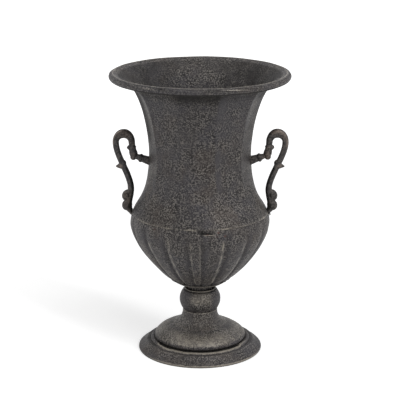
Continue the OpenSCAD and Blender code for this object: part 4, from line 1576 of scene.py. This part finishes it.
@dataclass
class BaseRing(Piece):
    """The broad ring on the floor: a bead round the dome, a dip, a slope and a rolled edge.

    The slope swells and sags by a height, round a radius, over a half width.
    """

    name = "urn_base_ring"
    nodes = ("base_ring",)
    wall: float = 2.6
    dome_r: float = 73.8
    inner_r: float = 68.0
    seat_r: float = 72.4
    bead_out: float = 3.7
    edge_h: float = 4.2
    face_w: float = 6.0
    slot_depth: float = 2.2
    slot_blur: float = 2.4
    lip_rise: float = 0.6
    wider: float = 0.5
    swell: tuple[float, float, float] = (0.7, 86.3, 1.7)
    sag: tuple[float, float, float] = (0.55, 91.6, 2.2)
    dents: tuple[Ripple, ...] = (Ripple(0.22, 30.0, seed=61), Ripple(0.12, 9.0, seed=62))
    columns: int = 336

    def __post_init__(self) -> None:
        """Reads the ledge, the bead's height and the ring's radius off the frame."""
        self.ledge, self.crest_z = foot_of("foot_dome"), top_of("base_ring")
        self.ring_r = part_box("base_ring")[1].x / MM + self.wider
        self.crest_r = self.dome_r + self.bead_out

    def section(self, open_share: Array) -> Array:
        """The section in each direction, blended from the closed bead to the open slot.

        Args:
            open_share: how open the slot is in each direction, 0 to 1.

        Returns:
            Points as row, column, radius and height.
        """
        ledge, crest_z, crest_r = self.ledge, self.crest_z, self.crest_r
        deep, lip_z, ring_r, edge_h = (ledge - self.slot_depth, ledge + self.lip_rise, self.ring_r,
                                       self.edge_h)
        closed = rounded([(self.inner_r, ledge), (self.seat_r, ledge),
                          (self.dome_r - 0.8, ledge + 0.5), (self.dome_r - 0.8, crest_z - 1.7),
                          (crest_r - 0.9, crest_z), (crest_r + 1.3, crest_z - 0.6),
                          (crest_r + 2.6, crest_z - 2.2)], 0.8, 5)
        opened = rounded([(self.inner_r, ledge), (self.seat_r, ledge - 0.1),
                          (self.dome_r - 0.4, deep), (crest_r - 1.9, deep), (crest_r - 1.1, lip_z),
                          (crest_r + 0.6, lip_z), (crest_r + 2.8, ledge - 0.7)], 0.35, 5)
        top = closed[:, None] + (opened - closed)[:, None] * open_share[None, :, None]
        slope = Curve.between((crest_r + 3.8, crest_z - 3.9), (ring_r - 0.3 * edge_h, edge_h),
                              (0.33, 0.02), (0.51, 0.57))
        outer = slope.at(np.linspace(0.0, 1.0, 34))
        (high, *crest), (deep_by, *trough) = self.swell, self.sag
        outer[:, 1] += high * bump(outer[:, 0], *crest) - deep_by * bump(outer[:, 0], *trough)
        face_r = ring_r - 0.5 - self.face_w
        roll = rounded([outer[-1], (ring_r - 0.2, 0.7 * edge_h), (ring_r, 0.3 * edge_h),
                        (ring_r - 0.6, 0.0), (face_r, 0.0), (face_r, 0.4 * edge_h)], 0.9, 5)[1:]
        back = slope.beside(np.linspace(0.9, 0.1, 14), self.wall)
        tail = rows(outer, roll, back, (crest_r, ledge - self.wall - 0.2),
                    (self.inner_r, ledge - self.wall), (self.inner_r, ledge - 1.2))
        return np.concatenate([top, np.repeat(tail[:, None], len(open_share), axis=1)])

    def skin(self) -> bpy.types.Object:
        """Turns the section, which changes from bead to slot at the slot's two abrupt ends.

        Returns:
            The new object.
        """
        half = FULL_TURN / 2
        even = np.linspace(-half, half, self.columns, endpoint=False)
        extra = np.array([[-SLOT_HALF], [SLOT_HALF]]) + np.linspace(-1.8, 1.8, 13)
        angle = np.unique(np.round(np.concatenate([even, extra.ravel()]), 4))
        grid = self.section(slot_share(angle, self.slot_blur))[::-1]
        radius, height = grid[..., 0], grid[..., 1]
        points = turn_xyz(radius, angle[None, :], height)
        free = ramp(height, 0.0, 2.0) * ramp(radius, self.dome_r, self.dome_r + 3.0)
        points[..., 2] += (unevenness(points, *self.dents) - 0.15) * free
        return wrapped_skin(self.name, points)

    def marks(self, at: Places) -> Marks:
        """The slot's pale lip and the painted shadow in it, painted shade in the valley, the dip
        and low on the roll, and painted shade on the duller sides.

        Args:
            at: where the piece's points lie.

        Returns:
            What is added to each mask.
        """
        r, z, ledge, crest_r = at.r, at.z, self.ledge, self.crest_r
        opened = slot_share(at.turn, self.slot_blur)
        lip = (ramp(r, crest_r - 1.3, crest_r - 1.0) * ramp(r, crest_r + 3.4, crest_r + 1.8)
               * (z > ledge - 1.8))
        # Painted shadow in the open slot.
        slot = ((r > self.inner_r + 0.5) & (r < crest_r - 1.2)
                & (z > ledge - self.slot_depth - 0.5)) * opened
        # Painted shade in the valley by the dome, in the dip and low on the roll.
        valley = bump(r, self.dome_r + 0.6, 2.0) * (z > ledge) * (1 - opened)
        dip = bump(r, crest_r + 6.2, 2.2)
        # The sides are duller and darker: painted shade.
        side = ramp(np.abs(angle_apart(at.turn, 10.0)), 50.0, 75.0)
        return {
            Mask.WEAR: 2.4 * lip * opened + 0.12 - 0.62 * side + 0.04 * ramp(z, 5.5, 3.0),
            Mask.HOLLOW: (1.5 * slot + 0.1 * valley + 0.25 * dip + 0.45 * ramp(z, 2.4, 1.0)
                          + 0.2 * side),
            Mask.CALM: 0.12 + 0.5 * dip + 0.5 * side}


Shape = tuple[Array, Array]


@dataclass
class Handle(Piece):
    """A cast scroll handle: a rod looped over at the top, with an arm to the neck.

    It is worked out on the +X side, in the plane of the radius outwards and the height.
    """

    slot = "cast_handle"
    crest = (0.16, 0.5)
    dip = (0.12, 0.5)
    side: Side
    neck: Neck
    bowl: Bowl
    loop_out: float = 13.6
    loop_h: float = 112.5
    loop_rx: float = 12.7
    loop_rz: float = 14.0
    rod_a: float = 4.9
    rod_b: float = 4.8
    loop_top_a: float = 7.0
    rod_low_h: float = 36.0
    rod_low_out: float = 2.8
    tangent: float = 24.0
    foot_down: float = 6.6
    foot_out: float = 13.5
    tuck: float = 1.6
    tube_columns: int = 28
    voxel: float = 0.62
    soften: int = 9
    regain: float = 0.2
    lumps: Ripple = Ripple(0.12, 9.0, seed=71)

    def __post_init__(self) -> None:
        """Places the handle's main points on shoulder and seam: the right one sits higher."""
        label = self.side.name.lower()
        self.name, self.nodes = f"urn_handle_{label}", (f"handle_{label}",)
        rise, lean = {Side.LEFT: (0.0, -0.3), Side.RIGHT: (2.4, 1.2)}[self.side]
        self.root = np.array([self.neck.shoulder_r - FULLER, self.neck.seam_z + SEAM_DROP + rise])
        self.loop = self.root + (self.loop_out + lean, self.loop_h)
        self.head = self.loop - (self.loop_rx, 0.0)

    def spine(self) -> tuple[Array, Array, Array]:
        """The rod's middle line from the head, over the loop and down to the foot.

        Returns:
            Points of radius and height, and the rod's half thickness and half depth at each.
        """
        t = np.linspace(1.0, 0.0, 16)[:-1]
        head = self.head + t[:, None] * np.array([-2.4, -22.5])
        head_a = np.interp(t, [0.0, 0.3, 0.42, 0.7, 1.0], [5.1, 4.8, 5.3, 6.2, 4.4])
        turn = np.linspace(180.0, 0.0, 34)
        top = arc(self.loop, turn, self.loop_rx, self.loop_rz)
        swell = np.sin(np.radians(turn)) ** 2
        top_a = self.rod_a + 0.2 * (turn / 180.0) + (self.loop_top_a - self.rod_a) * swell
        right, low = self.loop + (self.loop_rx, 0.0), self.root + (self.rod_low_out, self.rod_low_h)
        down = np.array([0.0, self.tangent])
        sway = Curve((right, right - down, low + down, low))
        foot = Curve((low, low - (0.0, 12.0), self.root + (self.foot_out, 9.0),
                      self.root - (0.3, self.foot_down)))
        ts, td = np.linspace(0.0, 1.0, 40)[1:], np.linspace(0.0, 1.0, 30)[1:]
        belly = np.sin(np.pi * td)
        half_a = np.concatenate([head_a, top_a, self.rod_a - 0.1 * np.sin(np.pi * ts),
                                 self.rod_a + 0.6 * belly - 2.0 * td**3])
        half_b = np.concatenate([head_a - 0.2, self.rod_b + 1.2 * swell + 0.4,
                                 np.full(len(ts), self.rod_b),
                                 self.rod_b + 0.5 * belly - 1.2 * td**2])
        return rows(head, top, sway.at(ts), foot.at(td)), half_a, half_b

    def tube(self, line: Array, half_a: Array, half_b: Array, squareness: float = 2.0) -> Shape:
        """A closed tube along a line in the handle's plane.

        Args:
            line: the middle line's points of radius and height.
            half_a: half thickness in the plane at each point.
            half_b: half depth across the plane at each point.
            squareness: exponent of the section's superellipse, 2 for an ellipse.

        Returns:
            Points and quads. The section is a superellipse square to the line, and each end closes
            on its middle point.
        """
        ahead = np.gradient(line, axis=0)
        ahead /= np.linalg.norm(ahead, axis=1, keepdims=True)
        across = np.stack([ahead[:, 1], -ahead[:, 0]], axis=1)
        q = np.linspace(0.0, 2 * np.pi, self.tube_columns, endpoint=False)
        c, s = (np.sign(w) * np.abs(w) ** (2 / squareness) for w in (np.cos(q), np.sin(q)))
        out = line[:, None] + (half_a[:, None] * c)[..., None] * across[:, None]
        rings = np.stack([out[..., 0], half_b[:, None] * s, out[..., 1]], axis=-1)
        ends = np.insert(line[[0, -1]], 1, 0.0, axis=1)
        caps = np.repeat(ends[:, None], self.tube_columns, axis=1)
        rings = np.concatenate([caps[:1], rings, caps[1:]])
        index = np.arange(rings[..., 0].size).reshape(rings.shape[:2])
        right = np.roll(index, -1, axis=1)
        quads = np.stack([index[:-1], index[1:], right[1:], right[:-1]], axis=-1).reshape(-1, 4)
        return rings.reshape(-1, 3), quads

    def spindle(self, start: Array, end: Array, radii: tuple[float, ...]) -> Shape:
        """A round spindle between two points, whose radius runs evenly through the given ones.

        Args:
            start: the middle line's first point.
            end: its last point.
            radii: radii, spread evenly along it.

        Returns:
            Points and quads.
        """
        t = np.linspace(0.0, 1.0, 24)
        radius = np.interp(t, np.linspace(0.0, 1.0, len(radii)), radii)
        return self.tube(start + t[:, None] * (end - start), radius, radius)

    def ball(self, centre: Array, half_u: float, half_v: float, half_y: float,
             turn: float = 0.0) -> Shape:
        """An ellipsoid in the handle's plane, with its long axis turned up from the radius.

        Args:
            centre: its middle, radius and height.
            half_u: half its length along the turned axis.
            half_v: half its thickness in the plane.
            half_y: half its depth across the plane.
            turn: how far the long axis is turned.

        Returns:
            Points and quads.
        """
        t = np.linspace(0.0, np.pi, 26)[1:-1]
        direction = np.array([math.cos(math.radians(turn)), math.sin(math.radians(turn))])
        line = centre - np.cos(t)[:, None] * half_u * direction
        return self.tube(line, half_v * np.sin(t), half_y * np.sin(t))

    def parts(self) -> list[Shape]:
        """The closed shapes that are melted together: rod, buds, thorn, beak, head and arm.

        Returns:
            Points and quads of each shape.
        """
        root, head = self.root, self.head
        return [
            self.tube(*self.spine(), squareness=2.5),
            self.ball(root + (9.4, 9.4), 9.2, 8.0, 5.8, turn=112.0),
            self.ball(root + (9.3, 25.4), 9.6, 7.9, 5.8, turn=114.0),
            self.ball(root + (5.4, 1.6), 8.5, 4.6, 5.0, turn=46.0),
            self.ball(root + (16.0, 76.8), 7.0, 5.8, 5.4, turn=-62.0),
            self.spindle(root + (15.0, 74.2), root + (26.6, 72.8), (4.6, 4.9, 3.0, 0.9)),
            self.spindle(head + (1.0, -10.8), head + (7.2, -7.2), (3.8, 3.4, 2.3)),
            self.ball(head + (-1.0, -8.4), 1.9, 6.3, 6.0, turn=80.0),
            self.ball(head + (-2.4, -17.6), 8.2, 6.6, 6.2, turn=78.0),
            self.ball(head + (-2.2, -24.6), 4.8, 4.4, 5.0),
            self.spindle(root + (-31.0, 81.2), root + (-3.8, 90.2), (7.2, 6.6, 5.8, 4.9, 3.2)),
            self.ball(root + (-13.2, 87.2), 3.6, 6.7, 6.8, turn=18.0),
            self.ball(root + (-12.6, 83.2), 3.0, 3.2, 4.4, turn=18.0),
        ]

    def melted(self) -> bpy.types.Mesh:
        """One voxel skin round all the parts, smoothed.

        Returns:
            The new mesh, on the +X side.
        """
        points, quads = zip(*self.parts())
        starts = np.cumsum([0] + [len(part) for part in points[:-1]])
        raw = mesh_object(self.name + "_raw", np.concatenate(points),
                          np.concatenate([part + start for part, start in zip(quads, starts)]))
        remesh = raw.modifiers.new("melt", "REMESH")
        remesh.mode = "VOXEL"
        remesh.voxel_size = self.voxel * MM
        smooth = raw.modifiers.new("soften", "SMOOTH")
        smooth.factor = 0.5
        smooth.iterations = self.soften
        graph = bpy.context.evaluated_depsgraph_get()
        mesh = bpy.data.meshes.new_from_object(raw.evaluated_get(graph))
        bpy.data.objects.remove(raw)
        mesh.name = self.name
        return mesh

    def skin(self) -> bpy.types.Object:
        """The melted skin, fattened a little, pressed against the urn's wall and mirrored.

        Returns:
            The new object.
        """
        mesh = self.melted()
        at = Places.of(mesh)
        fatter = self.lumps.at(at.xyz) + self.regain
        p = at.xyz + fatter[:, None] * at.normal
        if self.side is Side.RIGHT:
            p[:, 0] -= self.tuck * ramp(p[:, 2], self.root[1] + 58.0, self.root[1] + 18.0)
        at = Places(p, at.normal)
        wall = np.where(at.z > self.neck.seam_z, self.neck.outer_radius(at.turn, at.z),
                        self.bowl.outer_radius(at.turn, at.z))
        p[:, :2] *= (np.maximum(at.r, wall + 0.1) / at.r)[:, None]
        p[:, 0] *= self.side.value
        mesh.vertices.foreach_set("co", (p * MM).astype(np.float32).ravel())
        if self.side is Side.LEFT:
            mesh.flip_normals()
        mesh.update()
        mesh.shade_smooth()
        return link(self.name, mesh)

    def marks(self, at: Places) -> Marks:
        """The loop's painted highlight, the worn thorn, the head's front with rubbing and painted
        light, and painted shade behind rod and arm.

        Args:
            at: where the piece's points lie.

        Returns:
            What is added to each mask.
        """
        out, z, (root_r, root_z) = np.abs(at.x), at.z, self.root
        away, back, up = self.side.value * at.normal[:, 0], at.normal[:, 1], at.normal[:, 2]
        low = ramp(z, root_z + 78.0, root_z + 62.0)
        off = np.column_stack([out, z]) - self.loop
        off /= np.linalg.norm(off, axis=1, keepdims=True)
        facing = np.degrees(np.arctan2(away * off[:, 0] + up * off[:, 1], -back))
        # A painted highlight along the loop: a narrow line on the left, a broad patch on the right.
        centre, half, reach, weight = {Side.LEFT: (46.0, 17.0, 0.25, 0.9),
                                       Side.RIGHT: (30.0, 40.0, 0.8, 0.66)}[self.side]
        on_loop = (ramp(z, self.loop[1] - 16.0, self.loop[1] - 4.0)
                   * ramp(off[:, 0], -reach, 0.5 - reach))
        thorn = bump(out, root_r + 19.0, 6.0) * bump(z, root_z + 74.0, 6.0)
        # The head's front-facing side is lighter: wear and painted light.
        head = bump(out, root_r, 12.0) * bump(z, root_z + 92.0, 12.0) * ramp(-back)
        return {
            Mask.WEAR: weight * bump(facing, centre, half) * on_loop + 0.7 * thorn + 0.5 * head,
            # Painted shade on faces that look at the urn, low down, and near the wall.
            Mask.HOLLOW: (1.4 * ramp(-away, 0.05, 0.35) * low
                          + 0.2 * ramp(out, root_r - 8.0, root_r - 14.0))}


# The fixings that keep their own solids


@dataclass(frozen=True)
class Fixings:
    """The wire, sleeve, bolt, washers, nut, seal and screws, which only get their finishes."""

    slots: tuple[tuple[str, str], ...] = (
        ("rim_wire", "steel_wire"),
        ("bowl_spigot", "iron_sheet"),
        ("stem_bolt", "zinc_steel"),
        ("bowl_washer", "zinc_steel"),
        ("bowl_seal", "seal_rubber"),
        ("foot_washer", "zinc_steel"),
        ("stem_nut", "zinc_steel"),
        ("handle_screws_upper", "zinc_steel"),
        ("handle_screws_lower", "zinc_steel"),
        ("handle_washers", "zinc_steel"),
    )

    def make(self, nodes: dict[str, bpy.types.Object], finishes: Finishes) -> None:
        """Dresses each node of the frame that stays in sight.

        Args:
            nodes: the frame's objects by node.
            finishes: the made materials.
        """
        for name, slot in self.slots:
            finishes.dress(nodes[name], slot)
            LOG.info("%s: finish of %s", name, slot)


# The studio

Place = tuple[float, float, float]


@dataclass(frozen=True)
class Studio:
    """A pale floor, soft light from the front right, and the camera at the photograph's angle.

    Its places and sizes are in metres, and the lens and sensor in millimetres.
    """

    lens: float = 130.5
    sensor: float = 36.0
    sight: float = 50.0
    camera_turn: float = 2.0
    camera_away: float = 2.232
    camera_height: float = 0.877
    camera_pitch: float = 15.73
    floor_half: float = 6.0
    floor_glow: float = 0.48
    far_glow: float = 0.35
    # Painted light raised beside the shadow's band, and a painted contact shadow at the foot.
    painted_light_beside_shadow: float = 0.09
    painted_contact_shadow: float = 0.05
    sky: float = 0.37
    key_power: float = 27.0
    key_size: float = 1.9
    key_place: Place = (0.93, -0.97, 1.98)
    fill_power: float = 5.0
    fill_size: float = 1.0
    fill_place: Place = (-1.5, -0.5, 1.5)
    aim: Place = (0.0, 0.0, 0.25)

    def camera(self) -> None:
        """Sets the camera, level and looking down at the urn's middle."""
        data = bpy.data.cameras.new("camera")
        data.lens = self.lens
        data.sensor_width = self.sensor
        data.clip_end = self.sight
        obj = link("camera", data)
        turn, away = math.radians(self.camera_turn), self.camera_away
        obj.location = (away * math.sin(turn), -away * math.cos(turn), self.camera_height)
        obj.rotation_euler = (math.radians(90 - self.camera_pitch), 0.0, turn)
        bpy.context.scene.camera = obj

    def lamp(self, name: str, place: Place, size: float, power: float) -> None:
        """Adds a square soft light that looks at the urn.

        Args:
            name: the light's name.
            place: where it stands.
            size: its side.
            power: its power in watts.
        """
        data = bpy.data.lights.new(name, "AREA")
        data.shape = "SQUARE"
        data.size = size
        data.energy = power
        obj = link(name, data)
        obj.location = place
        obj.rotation_euler = (Vector(self.aim) - Vector(place)).to_track_quat("-Z", "Y").to_euler()

    def world(self) -> None:
        """A grey sky that the camera and reflections see as white."""
        world = bpy.data.worlds.new("sky")
        world.use_nodes = True
        bpy.context.scene.world = world
        g = Graph(world.node_tree)
        back = world.node_tree.nodes["Background"].inputs
        g.plug(back["Color"], colour(1.0, 1.0, 1.0))
        g.plug(back["Strength"], g.plus(g.times(g.backdrop(), 1.0 - self.sky), self.sky))

    def floor(self) -> None:
        """A pale floor that keeps the urn's shadow and shows as white to the camera.

        Its glow grows with the distance from the urn, is raised beside the shadow's band as
        painted light, and drops at the foot as a painted contact shadow.
        """
        half = self.floor_half / MM
        corners = half * np.array([(-1, -1, 0), (1, -1, 0), (1, 1, 0), (-1, 1, 0)], float)
        obj = mesh_object("floor", corners, np.array([[0, 1, 2, 3]]))
        made, g, _, place = new_material("pale_floor")
        nodes = made.node_tree.nodes
        nodes.remove(nodes["Principled BSDF"])
        away = g.add("VectorMath", {0: place}, operation="LENGTH").outputs["Value"]
        level = g.step(away, 0.6, 2.2, self.floor_glow, self.floor_glow + self.far_glow)
        flat = g.add("SeparateXYZ", {0: place}).outputs
        # Painted light: the glow is raised outside a band along the shadow. Painted contact shadow:
        # it drops round the foot.
        across = g.times(g.plus(flat["X"], flat["Y"], 0.028), 0.7071)
        beside = g.step(g.math("ABSOLUTE", across, 0.0), 0.035, 0.10, 0.0, self.painted_light_beside_shadow)
        near = g.step(away, 0.097, 0.115, -self.painted_contact_shadow, 0.0)
        level = g.plus(level, g.plus(beside, near))
        tone = g.mix(g.noise(place, 60.0), colour(0.87, 0.87, 0.87), colour(0.89, 0.89, 0.89))
        diffuse = g.add("BsdfDiffuse", {"Color": tone}).outputs[0]
        glow = g.add("Emission", {"Strength": g.times(g.backdrop(), level)}).outputs[0]
        total = g.add("AddShader", {0: diffuse, 1: glow}).outputs[0]
        g.plug(nodes["Material Output"].inputs["Surface"], total)
        obj.data.materials.append(made)

    def build(self) -> None:
        """Sets up the camera, the lights, the sky and the floor."""
        bpy.context.scene.view_settings.view_transform = "Standard"
        self.camera()
        self.lamp("key", self.key_place, self.key_size, self.key_power)
        self.lamp("fill", self.fill_place, self.fill_size, self.fill_power)
        self.world()
        self.floor()


def main() -> None:
    """Builds the studio and then the urn, from the rim down."""
    logging.basicConfig(level=logging.INFO, format="%(message)s")
    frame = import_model()
    Studio().build()
    finishes = Finishes()
    neck, bowl = Neck(), Bowl()
    handles = [Handle(side, neck, bowl) for side in Side]
    for piece in (neck, bowl, Dish(), Knop(), Foot(), BaseRing(), *handles):
        piece.make(finishes)
    Fixings().make(frame["nodes"], finishes)


if __name__ == "__main__":
    main()
